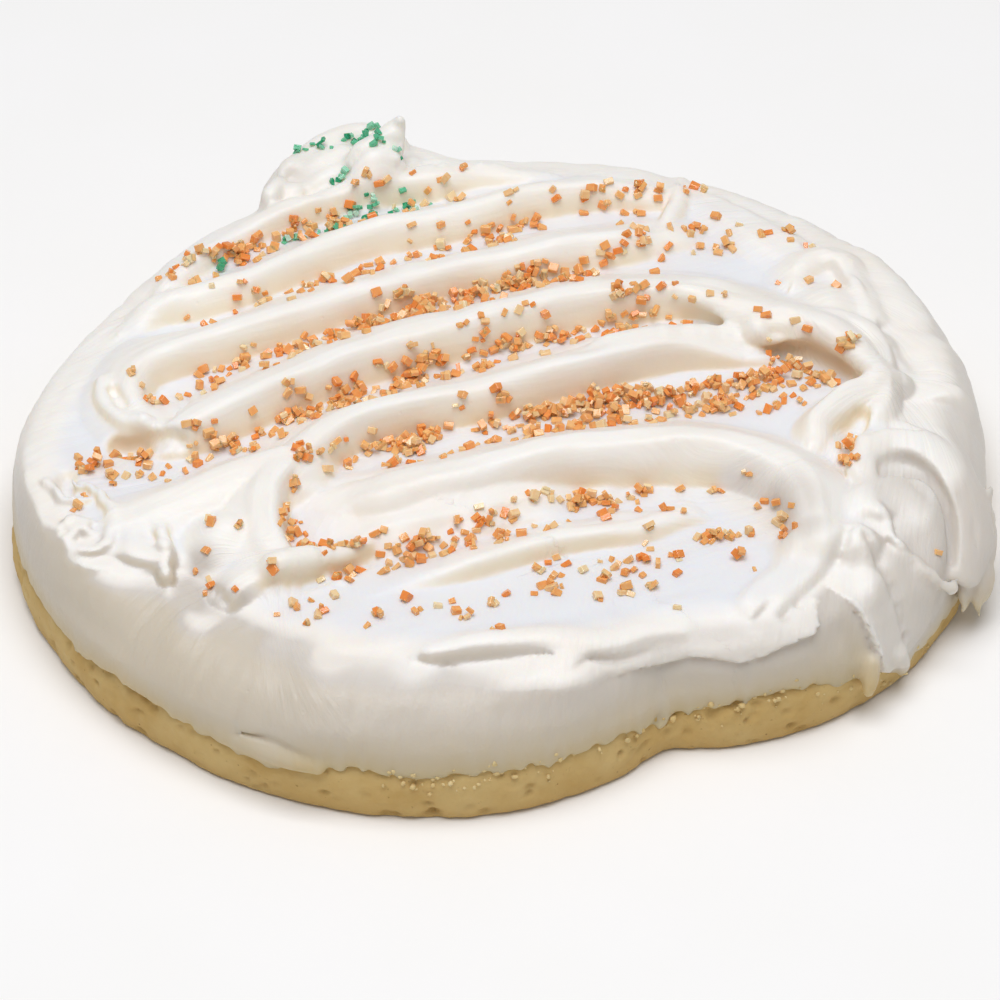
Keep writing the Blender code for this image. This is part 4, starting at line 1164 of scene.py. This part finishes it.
@dataclass
class Icing:
    """Buttercream spread in furrows over the top, hanging over the dough's edge."""

    shape: IcingShape
    step: float = 0.3               # distance between the field's points
    triangles: int = 188_000
    smoothing_rounds: int = 1

    def build(self, finish: ButtercreamFinish) -> bpy.types.Object:
        """Make the icing in place of its plain solid."""
        field = IcingField(self.step)
        shape = self.shape
        field.fill_body(shape)
        for smear in smears():
            field.apply(smear)
        places, faces = field.surface()
        piece = new_piece("buttercream", places, faces.tolist(), finish.build())
        self._keep_largest_part(piece)
        self._thin_out(piece)
        self._mark_strokes(piece)
        self._mark_tones(piece, shape)
        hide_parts("icing")
        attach(piece, "root")
        return piece

    def _keep_largest_part(self, piece: bpy.types.Object) -> None:
        """Drop flakes that the cuts left floating."""
        mesh = bmesh.new()
        mesh.from_mesh(piece.data)
        mesh.verts.ensure_lookup_table()
        part = np.full(len(mesh.verts), -1)
        sizes = []
        for start in mesh.verts:
            if part[start.index] >= 0:
                continue
            part[start.index] = len(sizes)
            front = [start]
            count = 0
            while front:
                vertex = front.pop()
                count += 1
                for edge in vertex.link_edges:
                    other = edge.other_vert(vertex)
                    if part[other.index] < 0:
                        part[other.index] = len(sizes)
                        front.append(other)
            sizes.append(count)
        largest = int(np.argmax(sizes))
        loose = [vertex for vertex in mesh.verts if part[vertex.index] != largest]
        bmesh.ops.delete(mesh, geom=loose, context="VERTS")
        mesh.to_mesh(piece.data)
        mesh.free()

    def _thin_out(self, piece: bpy.types.Object) -> None:
        """Collapse the flattest faces until the piece is light enough."""
        smooth = piece.modifiers.new("smooth", "CORRECTIVE_SMOOTH")
        smooth.iterations = self.smoothing_rounds
        smooth.use_only_smooth = True
        count = sum(len(face.vertices) - 2 for face in piece.data.polygons)
        if count > self.triangles:
            collapse = piece.modifiers.new("collapse", "DECIMATE")
            collapse.ratio = self.triangles / count
        depsgraph = bpy.context.evaluated_depsgraph_get()
        settled = bpy.data.meshes.new_from_object(piece.evaluated_get(depsgraph))
        piece.modifiers.clear()
        plain = piece.data
        piece.data = settled
        bpy.data.meshes.remove(plain)
        piece.data.name = piece.name
        piece.data.polygons.foreach_set("use_smooth", [True] * len(piece.data.polygons))

    def _mark_strokes(self, piece: bpy.types.Object) -> None:
        """Store where each vertex lies along and across the knife's strokes."""
        places = np.zeros(len(piece.data.vertices) * 3)
        piece.data.vertices.foreach_get("co", places)
        places = places.reshape(-1, 3) / MM
        x, y = places[:, 0], places[:, 1]
        along, across, weights = np.zeros_like(x), np.zeros_like(x), np.zeros_like(x)
        for ridge in RIDGES[:10]:
            curve = sample_curve(ridge.crest, 6)
            place = nearest_on_curve(x, y, curve)
            weight = 1.0 / (place.across ** 2 + place.beyond ** 2 + 4.0) ** 2
            along += weight * (place.along + curve[0, 0])
            across += weight * (place.across + curve[:, 1].mean())
            weights += weight
        stroke = np.stack((along / weights, across / weights, places[:, 2]), axis=1)
        data = piece.data.attributes.new("stroke", "FLOAT_VECTOR", "POINT")
        data.data.foreach_set("vector", stroke.ravel())


    def _mark_tones(self, piece: bpy.types.Object, shape: IcingShape) -> None:
        """Store at each vertex the painted warm shade with dye, the painted shade of the furrow
        floors, and the scraped icing with its painted shade.
        """
        count = len(piece.data.vertices)
        places, normals = np.zeros(count * 3), np.zeros(count * 3)
        piece.data.vertices.foreach_get("co", places)
        piece.data.vertex_normals.foreach_get("vector", normals)
        places = places.reshape(-1, 3) / MM
        upward = normals.reshape(-1, 3)[:, 2]
        scraped_and_shade = shape.scraped_and_shade_tone(places, upward)
        # Painted shade spots.
        for x, y, height, radius, amount in PAINTED_SHADE_SPOTS:
            away = np.linalg.norm(places - (x, y, height), axis=1)
            scraped_and_shade = np.maximum(scraped_and_shade, amount * np.exp(-(away / radius) ** 4))
        inner = (1.0 - smooth_step(scraped_and_shade / 0.1)) * shape.inside_rim(places)
        # Painted warm shade: steep walls deep below the crests turn creamy yellow, with dye near the
        # sugar.
        slope_shade = smooth_step((0.86 - upward) / 0.5)
        depth = smooth_step((17.0 - places[:, 2]) / 3.6)
        # Dye stain near the sugar, which also serves as painted orange bounce light from the crystals.
        dye_and_orange_bounce = np.zeros(count)
        for line in SUGAR_LINES:
            curve = sample_curve(line.points, 4)
            near = nearest_on_curve(places[:, 0], places[:, 1], curve)
            away = np.hypot(near.across, near.beyond)
            amount = np.clip(near.values[:, 0] / 4.0, 0.0, 1.0)
            dye_and_orange_bounce = np.maximum(dye_and_orange_bounce, amount * np.exp(-(away / 1.3) ** 2))
        warm_shade_and_dye = inner * np.clip(0.7 * slope_shade * depth ** 1.3 + 0.3 * dye_and_orange_bounce, 0.0, 1.0)
        # Painted shade: low furrow floors that face up turn grey, as if the walls kept light off them.
        painted_floor_shade = inner * smooth_step((14.9 - places[:, 2]) / 1.8) * smooth_step(upward * 4.0 - 2.8)
        tone = np.stack((warm_shade_and_dye, painted_floor_shade, scraped_and_shade), axis=1)
        data = piece.data.attributes.new("tone", "FLOAT_VECTOR", "POINT")
        data.data.foreach_set("vector", tone.ravel())


@dataclass
class Cookie:
    """Rolled dough cut to a pumpkin's outline, with its crumb showing on the cut side."""

    bearings: int = 1200
    # Outline's drop inward and height up the side: rounded at the tray, upright, rounded on top.
    side: tuple = ((-0.9, 0.0), (-0.35, 0.25), (-0.08, 0.9), (0.0, 1.8), (0.0, 3.6), (-0.3, 4.9),
                   (-1.0, 5.9), (-2.4, 6.4))
    rows: int = 34
    pores: int = 260

    def build(self, finish: DoughFinish) -> bpy.types.Object:
        """Make the cookie in place of its plain solid."""
        bearings = np.arange(self.bearings) / self.bearings * 360.0
        reach = dough_reach(bearings)
        outline = np.array(self.side)
        rises = np.linalg.norm(np.diff(outline, axis=0), axis=1)
        knots = np.concatenate(([0.0], np.cumsum(rises)))
        profile = hermite(knots, outline, np.linspace(0.0, knots[-1], self.rows))
        rings = []
        for share in (0.0, 0.12, 0.3, 0.5, 0.7, 0.82, 0.9, 0.95, 0.98):
            rings.append((reach * share + profile[0, 0] * share, np.zeros_like(reach)))
        for offset, height in profile:
            rings.append((reach + offset, np.full_like(reach, height)))
        for share in (0.9, 0.75, 0.4, 0.0):
            rings.append((reach * share, np.full_like(reach, 6.5)))
        radii = np.array([ring[0] for ring in rings])
        heights = np.array([ring[1] for ring in rings])
        self._roughen(bearings, radii, heights)
        angles = np.radians(bearings)
        places = np.stack((radii * np.cos(angles), radii * np.sin(angles), heights), axis=-1)
        count, width = radii.shape
        faces = []
        for ring in range(count - 1):
            for column in range(width):
                following = (column + 1) % width
                faces.append((ring * width + column, ring * width + following,
                              (ring + 1) * width + following, (ring + 1) * width + column))
        piece = new_piece("baked_cookie", places.reshape(-1, 3), faces, finish.build())
        mesh = bmesh.new()
        mesh.from_mesh(piece.data)
        bmesh.ops.remove_doubles(mesh, verts=mesh.verts, dist=1e-7)
        bmesh.ops.recalc_face_normals(mesh, faces=mesh.faces)
        mesh.to_mesh(piece.data)
        mesh.free()
        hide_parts("cookie")
        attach(piece, "root")
        return piece

    def _roughen(self, bearings: np.ndarray, radii: np.ndarray, heights: np.ndarray) -> None:
        """Give the side its crumb, small pores and the drag of the cutter."""
        travel = np.radians(bearings) * 47.0
        angles = np.radians(bearings)
        around = np.stack((np.cos(angles) * 47.0, np.sin(angles) * 47.0), axis=-1)
        grid = np.broadcast_to(around, (*radii.shape, 2))
        points = np.concatenate((grid, heights[..., None]), axis=-1) + 300.0
        crumb = variation(points, 0.7, 81) * 0.07 + variation(points, 1.7, 82) * 0.12
        crumb += variation(points, 6.0, 83) * 0.16
        sag = variation(points, (3.5, 3.5, 0.8), 84) * 0.08
        outer = smooth_step((radii - radii.max(axis=0) + 4.0) / 3.0)
        radii += (crumb + sag) * outer
        draw = np.random.default_rng(85)
        for _ in range(self.pores):
            centre = draw.uniform(0.0, travel[-1])
            level = draw.uniform(0.4, 5.6)
            width = draw.uniform(0.2, 0.5)
            depth = draw.uniform(0.15, 0.6)
            away = np.abs(travel - centre)
            squared = (away[None, :] / (width * draw.uniform(1.0, 1.8))) ** 2
            squared = squared + ((heights - level) / width) ** 2
            radii -= depth * np.exp(-squared) * outer


@dataclass(frozen=True)
class SugarLine:
    """Where sugar settled: along a line, thicker or thinner."""

    points: tuple               # (x, y, crystals for each millimetre, spread)
    drift: float = 0.0          # how far the scatter leans to +Y


# Foot of each furrow's steep side, from the back to the front.
SUGAR_LINES = (
    # behind the first furrow's front, under the stem
    SugarLine(((-24.5, 27.2, 0.6, 0.5), (-22.8, 27.8, 1.8, 0.6), (-18.7, 28.9, 1.6, 0.6),
               (-13.6, 29.7, 1.8, 0.6), (-9.6, 30.3, 1.0, 0.7), (-5.0, 31.2, 1.2, 0.6),
               (-1.7, 31.6, 1.0, 0.7), (5.4, 31.6, 0.9, 0.7), (13.1, 31.4, 0.5, 0.6))),
    SugarLine(((-22.0, 25.0, 1.0, 0.8), (-19.0, 26.6, 0.9, 0.8), (-12.0, 28.3, 0.9, 0.9),
               (-5.0, 29.0, 0.7, 0.9), (3.0, 29.2, 0.5, 0.9), (12.0, 30.0, 0.3, 0.9))),
    # second furrow
    SugarLine(((-22.0, 24.0, 0.6, 0.8), (-17.0, 20.4, 1.3, 0.8), (-13.0, 21.2, 0.6, 0.8),
               (-8.0, 21.6, 1.0, 0.8), (-3.4, 21.6, 1.8, 0.8), (0.0, 22.3, 1.2, 0.8),
               (6.5, 22.7, 1.2, 0.8), (10.6, 22.9, 2.6, 0.8), (15.7, 22.8, 1.8, 0.8),
               (20.0, 22.4, 1.1, 0.7), (23.6, 21.8, 1.6, 0.7), (29.0, 20.6, 1.8, 0.8),
               (32.4, 20.0, 0.7, 1.0))),
    SugarLine(((-24.5, 20.4, 0.4, 1.5), (-12.0, 19.0, 0.7, 1.4), (0.0, 20.0, 0.8, 1.5),
               (12.0, 20.8, 0.8, 1.5), (22.0, 20.0, 0.4, 1.6))),
    # third furrow
    SugarLine(((-32.4, 12.6, 0.9, 0.6), (-31.8, 9.6, 1.0, 0.7), (-28.4, 9.8, 1.5, 0.8),
               (-24.6, 11.4, 0.9, 0.8), (-20.4, 12.6, 3.4, 0.8), (-15.3, 13.2, 1.3, 0.9),
               (-9.9, 12.6, 2.2, 0.8), (-5.0, 13.4, 5.5, 0.8), (-1.6, 13.4, 4.6, 0.8),
               (2.0, 13.2, 2.0, 0.8), (5.6, 13.2, 6.6, 0.8), (9.6, 12.9, 6.0, 0.8),
               (13.4, 12.6, 2.2, 0.9), (17.0, 12.6, 1.6, 0.9), (20.8, 12.9, 2.4, 0.9),
               (25.0, 13.4, 1.6, 1.0), (29.4, 13.8, 1.2, 1.2))),
    SugarLine(((-27.0, 8.4, 0.9, 1.2), (-15.0, 10.4, 1.0, 1.2), (-3.0, 11.0, 1.4, 1.2),
               (8.0, 10.8, 2.0, 1.3), (16.0, 10.6, 1.4, 1.5), (26.0, 10.8, 0.9, 1.8),
               (34.0, 10.6, 0.8, 2.2))),
    SugarLine(((24.0, 16.2, 0.5, 1.6), (29.0, 15.0, 0.8, 2.0), (34.0, 12.6, 0.7, 2.0),
               (37.6, 8.0, 0.4, 1.8), (36.5, 5.2, 0.3, 1.4))),
    # fourth furrow, with its left end at the rim
    SugarLine(((-41.5, 3.0, 3.6, 1.0), (-38.4, 3.2, 4.0, 1.1), (-35.8, 2.8, 3.4, 1.1),
               (-32.6, 2.0, 1.2, 0.9), (-30.0, 1.2, 1.8, 0.9), (-27.0, 1.0, 2.2, 0.9),
               (-23.0, 2.0, 1.4, 0.9), (-19.4, 2.6, 3.8, 0.9), (-15.1, 3.0, 3.0, 0.8),
               (-12.0, 3.4, 1.4, 0.8), (-9.0, 3.8, 4.4, 0.8), (-5.4, 4.2, 5.0, 0.8),
               (-2.0, 4.6, 3.4, 0.9), (1.6, 4.8, 1.6, 0.8), (4.9, 4.6, 4.2, 0.8),
               (8.9, 4.2, 2.6, 0.8), (13.6, 4.0, 1.4, 0.8), (17.0, 3.6, 4.0, 0.8),
               (20.0, 2.8, 2.6, 0.9), (23.7, 0.6, 1.6, 0.8), (26.6, -0.8, 1.2, 0.7))),
    SugarLine(((-38.0, 1.0, 0.9, 1.4), (-30.0, -0.6, 1.2, 1.3), (-20.0, 0.4, 1.2, 1.3),
               (-10.0, 1.6, 1.4, 1.3), (0.0, 2.6, 1.1, 1.3), (8.0, 2.2, 1.0, 1.3),
               (16.0, 1.6, 1.2, 1.3), (22.0, -0.8, 0.6, 1.2))),
    # deep right end of the fourth and fifth furrows
    SugarLine(((27.0, -4.6, 1.4, 0.7), (29.6, -8.4, 5.0, 1.0), (31.0, -10.4, 4.6, 1.1),
               (31.6, -12.4, 3.0, 1.0), (33.6, -11.4, 1.2, 0.7), (33.6, -14.0, 0.8, 0.5))),
    # fifth furrow
    SugarLine(((-25.9, -14.6, 0.7, 0.5), (-26.3, -12.4, 1.0, 0.6), (-24.2, -9.0, 1.0, 0.6),
               (-20.4, -6.2, 0.9, 0.7), (-16.2, -6.2, 1.6, 0.7), (-12.4, -5.6, 3.4, 0.8),
               (-9.6, -5.2, 3.2, 0.7), (-6.0, -5.4, 1.6, 0.8), (-2.6, -5.9, 3.6, 0.8),
               (2.0, -6.6, 3.6, 0.9), (6.4, -7.2, 5.2, 0.9), (9.6, -7.2, 11.0, 0.9),
               (13.2, -8.0, 10.0, 0.9), (16.0, -8.8, 4.0, 0.9), (20.0, -9.2, 5.6, 0.9),
               (24.4, -9.8, 4.6, 1.0), (28.0, -10.0, 4.4, 1.1), (30.0, -9.6, 2.0, 1.0))),
    SugarLine(((-21.0, -8.2, 0.5, 0.9), (-13.0, -7.6, 1.1, 1.1), (-4.0, -8.6, 1.8, 1.2),
               (5.0, -9.8, 3.2, 1.3), (13.0, -11.4, 3.8, 1.3), (20.0, -12.6, 2.6, 1.3),
               (26.0, -13.2, 2.2, 1.6), (29.6, -14.8, 1.0, 1.3))),
    # oval furrow
    SugarLine(((-25.4, -12.6, 1.2, 0.5), (-26.3, -15.6, 1.4, 0.7), (-24.4, -18.2, 1.6, 0.8),
               (-20.4, -19.6, 2.2, 0.9), (-16.0, -20.4, 2.6, 1.0), (-11.6, -20.6, 1.8, 0.9),
               (-7.6, -20.4, 2.8, 0.9), (-2.6, -19.4, 1.8, 0.9), (2.0, -19.8, 3.4, 0.8),
               (6.0, -21.2, 1.9, 0.9), (10.4, -22.2, 1.6, 0.8), (13.8, -23.6, 1.3, 0.8),
               (17.0, -26.4, 0.8, 0.8), (18.8, -29.6, 1.4, 0.8), (18.0, -33.0, 1.2, 0.9))),
    SugarLine(((-26.0, -20.0, 1.0, 0.8), (-22.6, -21.6, 1.8, 1.0), (-17.0, -22.6, 2.0, 1.1),
               (-10.0, -22.8, 1.6, 1.0), (-3.0, -22.8, 1.1, 1.1), (4.0, -24.2, 0.9, 1.1),
               (11.0, -25.4, 0.7, 1.1))),
    SugarLine(((-27.6, -22.2, 1.2, 0.9), (-30.4, -20.6, 1.4, 1.0), (-28.6, -24.6, 1.0, 0.9),
               (-24.4, -24.6, 1.6, 0.8))),
    # front of the oval furrow and the ledge below it
    SugarLine(((-19.0, -27.6, 0.8, 1.2), (-10.0, -28.6, 0.9, 1.6), (0.0, -29.6, 1.2, 1.8),
               (8.0, -29.6, 1.6, 1.4), (13.0, -30.2, 1.4, 1.4), (16.6, -33.6, 0.9, 1.2))),
    SugarLine(((-31.0, -24.6, 0.3, 1.6), (-20.0, -30.0, 0.5, 1.6), (-8.0, -32.4, 0.6, 1.8),
               (6.0, -33.6, 0.5, 1.8), (14.0, -35.0, 0.4, 1.4))),
    # small cleft, and strays
    SugarLine(((29.4, -20.4, 1.2, 0.5), (28.2, -23.4, 1.1, 0.4), (26.6, -27.2, 1.0, 0.4))),
    SugarLine(((-40.0, 0.0, 0.25, 2.4), (-34.6, -8.0, 0.35, 2.4), (-33.6, -18.0, 0.35, 2.0))),
    SugarLine(((34.6, 2.6, 0.8, 0.8), (37.6, 0.2, 0.4, 0.8), (41.4, -3.4, 0.3, 1.0))),
    SugarLine(((31.6, -35.0, 0.5, 0.5), (31.0, -37.4, 0.5, 0.4))),
)

GREEN_LINES = (
    SugarLine(((-4.2, 40.4, 2.6, 0.4), (-1.8, 40.0, 3.0, 0.4), (-0.2, 39.4, 2.6, 0.4))),
    SugarLine(((0.6, 39.2, 2.4, 0.5), (1.8, 40.6, 2.6, 0.5), (4.4, 40.6, 1.4, 0.5))),
    SugarLine(((1.8, 37.4, 1.8, 0.4), (2.8, 35.4, 2.2, 0.4), (4.8, 34.4, 2.6, 0.4),
               (7.0, 34.2, 1.8, 0.4))),
    SugarLine(((-2.6, 35.0, 1.6, 0.4), (-0.8, 34.8, 1.6, 0.4))),
    SugarLine(((-11.0, 29.4, 0.8, 0.6), (-7.8, 29.4, 2.4, 0.7), (-5.0, 29.6, 2.4, 0.7),
               (-2.4, 30.4, 2.2, 0.7), (1.0, 30.9, 2.6, 0.7), (3.4, 30.2, 1.6, 0.8),
               (9.4, 30.3, 0.3, 0.6))),
    SugarLine(((-17.6, 27.8, 0.8, 0.4), (-16.6, 27.6, 0.8, 0.4))),
)


class SugarHue(Enum):
    """The two colours of sanding sugar, with the finish and the lines of each."""

    ORANGE = "orange"
    GREEN = "green"

    @property
    def lines(self) -> tuple:
        """Lines along which this colour settled."""
        return SUGAR_LINES if self is SugarHue.ORANGE else GREEN_LINES

    @property
    def finish(self) -> SugarFinish:
        """Finish of this colour's crystals."""
        if self is SugarHue.ORANGE:
            return SugarFinish("orange_sugar", "FFE2B6", "FFBE79", "FB9B4C")
        return SugarFinish("green_sugar", "CFF0DC", "74CDA2", "2FA577")


@dataclass
class Sugar:
    """Crystals of one colour, dropped onto the icing and joined into one mesh."""

    hue: SugarHue
    seed: int
    long_side: tuple[float, float] = (0.55, 1.05)
    plenty: float = 0.8
    sink: float = 0.12              # how far a crystal sits in the icing

    def build(self, surface: BVHTree, taken: list) -> bpy.types.Object:
        """Scatter the crystals.

        Args:
            surface: the icing, in metres.
            taken: places of crystals already laid, in millimetres, which this adds to.

        Returns:
            The joined crystals.
        """
        draw = np.random.default_rng(self.seed)
        places, faces, tints = [], [], []
        for line in self.hue.lines:
            for x, y in self._drop_points(line, draw):
                spot = surface.ray_cast(Vector((x * MM, y * MM, 40 * MM)), Vector((0, 0, -1)))
                if spot[0] is None:
                    continue
                block, corners = self._crystal(draw)
                normal = spot[1] if spot[1].z > 0 else -spot[1]
                below = [p for p in taken if (p[0] - x) ** 2 + (p[1] - y) ** 2 < 0.62 ** 2]
                height = spot[0].z / MM
                if below:
                    height = max(height, max(p[2] for p in below[-3:]) + 0.25)
                if height > spot[0].z / MM + 1.1:
                    continue
                tilt = Euler(draw.normal(0.0, (0.9 if below else 0.5), 3))
                turn = normal.to_track_quat("Z", "Y").to_matrix() @ tilt.to_matrix()
                lift = corners[:, 2].max() - self.sink
                centre = np.array((x, y, height)) + np.array(normal) * lift
                turned = corners @ np.array(turn).T + centre
                first = sum(len(p) for p in places)
                places.append(turned)
                faces.extend(tuple(first + index for index in face) for face in block)
                tint = float(np.clip(draw.normal(0.5, 0.24), 0.0, 1.0))
                tints.extend([tint] * len(turned))
                taken.append((x, y, height))
        piece = new_piece(f"sugar_{self.hue.value}", np.concatenate(places), faces,
                          self.hue.finish.build(), smooth=False)
        data = piece.data.attributes.new("tint", "FLOAT", "POINT")
        data.data.foreach_set("value", tints)
        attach(piece, "root")
        return piece

    def _drop_points(self, line: SugarLine, draw: np.random.Generator) -> list:
        """Plan places of the crystals along one line, gathered in small clusters."""
        curve = sample_curve(line.points, 24)
        steps = np.linalg.norm(np.diff(curve[:, :2], axis=0), axis=1)
        spots = []
        for index, step in enumerate(steps):
            x, y, amount, spread = curve[index]
            for _ in range(draw.poisson(max(amount, 0.0) * step * self.plenty)):
                at_x = x + draw.normal(0.0, spread * 0.9)
                at_y = y + draw.normal(0.0, spread * 0.75) + line.drift
                spots.append((at_x, at_y))
                if draw.uniform() < 0.5:
                    spots.append((at_x + draw.normal(0.0, 0.7), at_y + draw.normal(0.0, 0.5)))
        return spots

    def _crystal(self, draw: np.random.Generator) -> tuple[list, np.ndarray]:
        """One block-shaped crystal with bevelled edges and slightly uneven corners.

        Args:
            draw: source of chance.

        Returns:
            Its faces, and its corners around the centre in millimetres.
        """
        length = draw.uniform(*self.long_side) * (0.78 if self.hue is SugarHue.GREEN else 1.0)
        half = np.array((length, length * draw.uniform(0.5, 0.9),
                         length * draw.uniform(0.4, 0.75))) / 2
        bevel = draw.uniform(0.1, 0.2) * half.min()
        corners, index = [], {}
        for signs in itertools.product((-1, 1), repeat=3):
            nudge = draw.uniform(-0.1, 0.1, 3) * half
            for axis in range(3):
                point = np.array(signs) * half + nudge
                inward = np.array(signs) * bevel
                inward[axis] = 0.0
                index[(signs, axis)] = len(corners)
                corners.append(point - inward)
        return crystal_faces(index), np.array(corners)


def crystal_faces(index: dict) -> list[tuple[int, ...]]:
    """Faces of a bevelled block whose corners are numbered by octant and facing axis."""
    faces = []
    for signs in itertools.product((-1, 1), repeat=3):
        loop = [index[(signs, axis)] for axis in range(3)]
        faces.append(tuple(loop if np.prod(signs) > 0 else loop[::-1]))
    for axis in range(3):
        second, third = (axis + 1) % 3, (axis + 2) % 3
        for side in (-1, 1):
            loop = []
            for turn_second, turn_third in ((-1, -1), (1, -1), (1, 1), (-1, 1)):
                signs = [0, 0, 0]
                signs[axis], signs[second], signs[third] = side, turn_second, turn_third
                loop.append(index[(tuple(signs), axis)])
            faces.append(tuple(loop if side > 0 else loop[::-1]))
        for turn_second, turn_third in itertools.product((-1, 1), repeat=2):
            loop = []
            for side, facing in ((-1, second), (1, second), (1, third), (-1, third)):
                signs = [0, 0, 0]
                signs[axis], signs[second], signs[third] = side, turn_second, turn_third
                loop.append(index[(tuple(signs), facing)])
            faces.append(tuple(loop if turn_second * turn_third > 0 else loop[::-1]))
    return faces


@dataclass
class Crumbs:
    """Dough crumbs that the knife dragged into the icing's lower edge."""

    count: int = 120
    size: tuple[float, float] = (0.12, 0.36)    # radius
    first: float = 236.0                        # bearings between which they lie
    last: float = 306.0
    seed: int = 95

    def build(self, surface: BVHTree, shape: IcingShape, finish: DoughFinish) -> bpy.types.Object:
        """Stick the crumbs onto the wall.

        Args:
            surface: the icing, in metres.
            shape: the icing's shape, for the height of its lower edge.
            finish: the dough's finish.

        Returns:
            The joined crumbs.
        """
        draw = np.random.default_rng(self.seed)
        lump = bmesh.new()
        bmesh.ops.create_icosphere(lump, subdivisions=1, radius=1.0)
        corners = np.array([vertex.co[:] for vertex in lump.verts])
        block = [tuple(vertex.index for vertex in face.verts) for face in lump.faces]
        lump.free()
        places, faces = [], []
        for _ in range(self.count):
            bearing = draw.uniform(self.first, self.last)
            level = shape.foot_height(bearing) + draw.normal(-0.1, 0.6)
            radius = draw.uniform(*self.size) * draw.uniform(0.6, 1.0)
            reach = float(dough_reach(np.array([bearing]))[0])
            angle = math.radians(bearing)
            out = Vector((math.cos(angle), math.sin(angle), 0.0))
            start = out * ((reach + 6.0) * MM) + Vector((0.0, 0.0, level * MM))
            spot = surface.ray_cast(start, -out, 8.0 * MM)
            away = spot[0].to_2d().length / MM if spot[0] is not None else reach
            centre = np.array((out.x * away, out.y * away, level)) - 0.35 * radius * np.array(out)
            first = sum(len(p) for p in places)
            uneven = 1.0 + draw.uniform(-0.3, 0.3, (len(corners), 1))
            stretch = draw.uniform(0.7, 1.3, 3)
            places.append(corners * uneven * stretch * radius + centre)
            faces.extend(tuple(first + index for index in face) for face in block)
        piece = new_piece("crumbs", np.concatenate(places), faces, finish.build())
        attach(piece, "root")
        return piece


# ---------------------------------------------------------------- studio

@dataclass
class Studio:
    """Camera, soft light and the white sweep."""

    aim: tuple[float, float, float] = (0.000594, -0.002294, 0.0)
    distance: float = 0.450
    azimuth: float = -23.0          # degrees from straight in front, towards the left
    elevation: float = 40.0
    lens: float = 162.0
    sky: float = 0.33
    key_watts: float = 4.85
    key_colour: str = "F6F8FF"
    key_size: float = 0.55
    key_distance: float = 0.75
    key_bearing: float = 235.0
    key_elevation: float = 82.0

    def build(self) -> None:
        """Set up the camera, world, light and floor."""
        self._camera()
        self._sky()
        self._key()
        self._floor()
        bpy.context.scene.view_settings.view_transform = "Standard"

    def _camera(self) -> None:
        """Long lens from the front left, looking down on the cookie."""
        turn, rise = math.radians(self.azimuth), math.radians(self.elevation)
        back = Vector((math.sin(turn) * math.cos(rise), -math.cos(turn) * math.cos(rise),
                       math.sin(rise)))
        data = bpy.data.cameras.new("camera")
        data.lens = self.lens
        data.sensor_width = 36.0
        data.clip_start = 0.01
        camera = bpy.data.objects.new("camera", data)
        camera.location = Vector(self.aim) + back * self.distance
        camera.rotation_euler = back.to_track_quat("Z", "Y").to_euler()
        bpy.context.scene.collection.objects.link(camera)
        bpy.context.scene.camera = camera

    def _sky(self) -> None:
        """Even pale surroundings."""
        world = bpy.data.worlds.new("studio")
        world.use_nodes = True
        shade = world.node_tree.nodes["Background"]
        shade.inputs["Color"].default_value = linear("FFFFFF")
        shade.inputs["Strength"].default_value = self.sky
        bpy.context.scene.world = world

    def _key(self) -> None:
        """Softbox above and behind the cookie."""
        turn, rise = math.radians(self.key_bearing), math.radians(self.key_elevation)
        away = Vector((math.cos(turn) * math.cos(rise), math.sin(turn) * math.cos(rise),
                       math.sin(rise)))
        data = bpy.data.lights.new("softbox", "AREA")
        data.energy = self.key_watts
        data.size = self.key_size
        data.color = linear(self.key_colour)[:3]
        light = bpy.data.objects.new("softbox", data)
        light.location = away * self.key_distance
        light.rotation_euler = away.to_track_quat("Z", "Y").to_euler()
        bpy.context.scene.collection.objects.link(light)

    def _floor(self) -> None:
        """Wide white floor under the cookie."""
        half = 1500.0
        corners = np.array(((-half, -half, 0.0), (half, -half, 0.0), (half, half, 0.0),
                            (-half, half, 0.0)))
        floor = new_piece("floor", corners, [(0, 1, 2, 3)], FloorFinish().build(), smooth=False)


def main() -> None:
    """Build the cookie, its icing and sugar, and the studio."""
    logging.basicConfig(level=logging.INFO, format="%(name)s %(message)s")
    Studio().build()
    report(Cookie().build(DoughFinish()))
    shape = IcingShape()
    icing = Icing(shape).build(ButtercreamFinish())
    report(icing)
    bpy.context.view_layer.update()
    surface = BVHTree.FromObject(icing, bpy.context.evaluated_depsgraph_get())
    report(Crumbs().build(surface, shape, DoughFinish(blond="E2CB97", golden="D3B377")))
    taken: list = []
    for hue, seed, plenty in ((SugarHue.GREEN, 91, 0.8), (SugarHue.ORANGE, 92, 0.85)):
        report(Sugar(hue, seed, plenty=plenty).build(surface, taken))


if __name__ == "__main__":
    main()
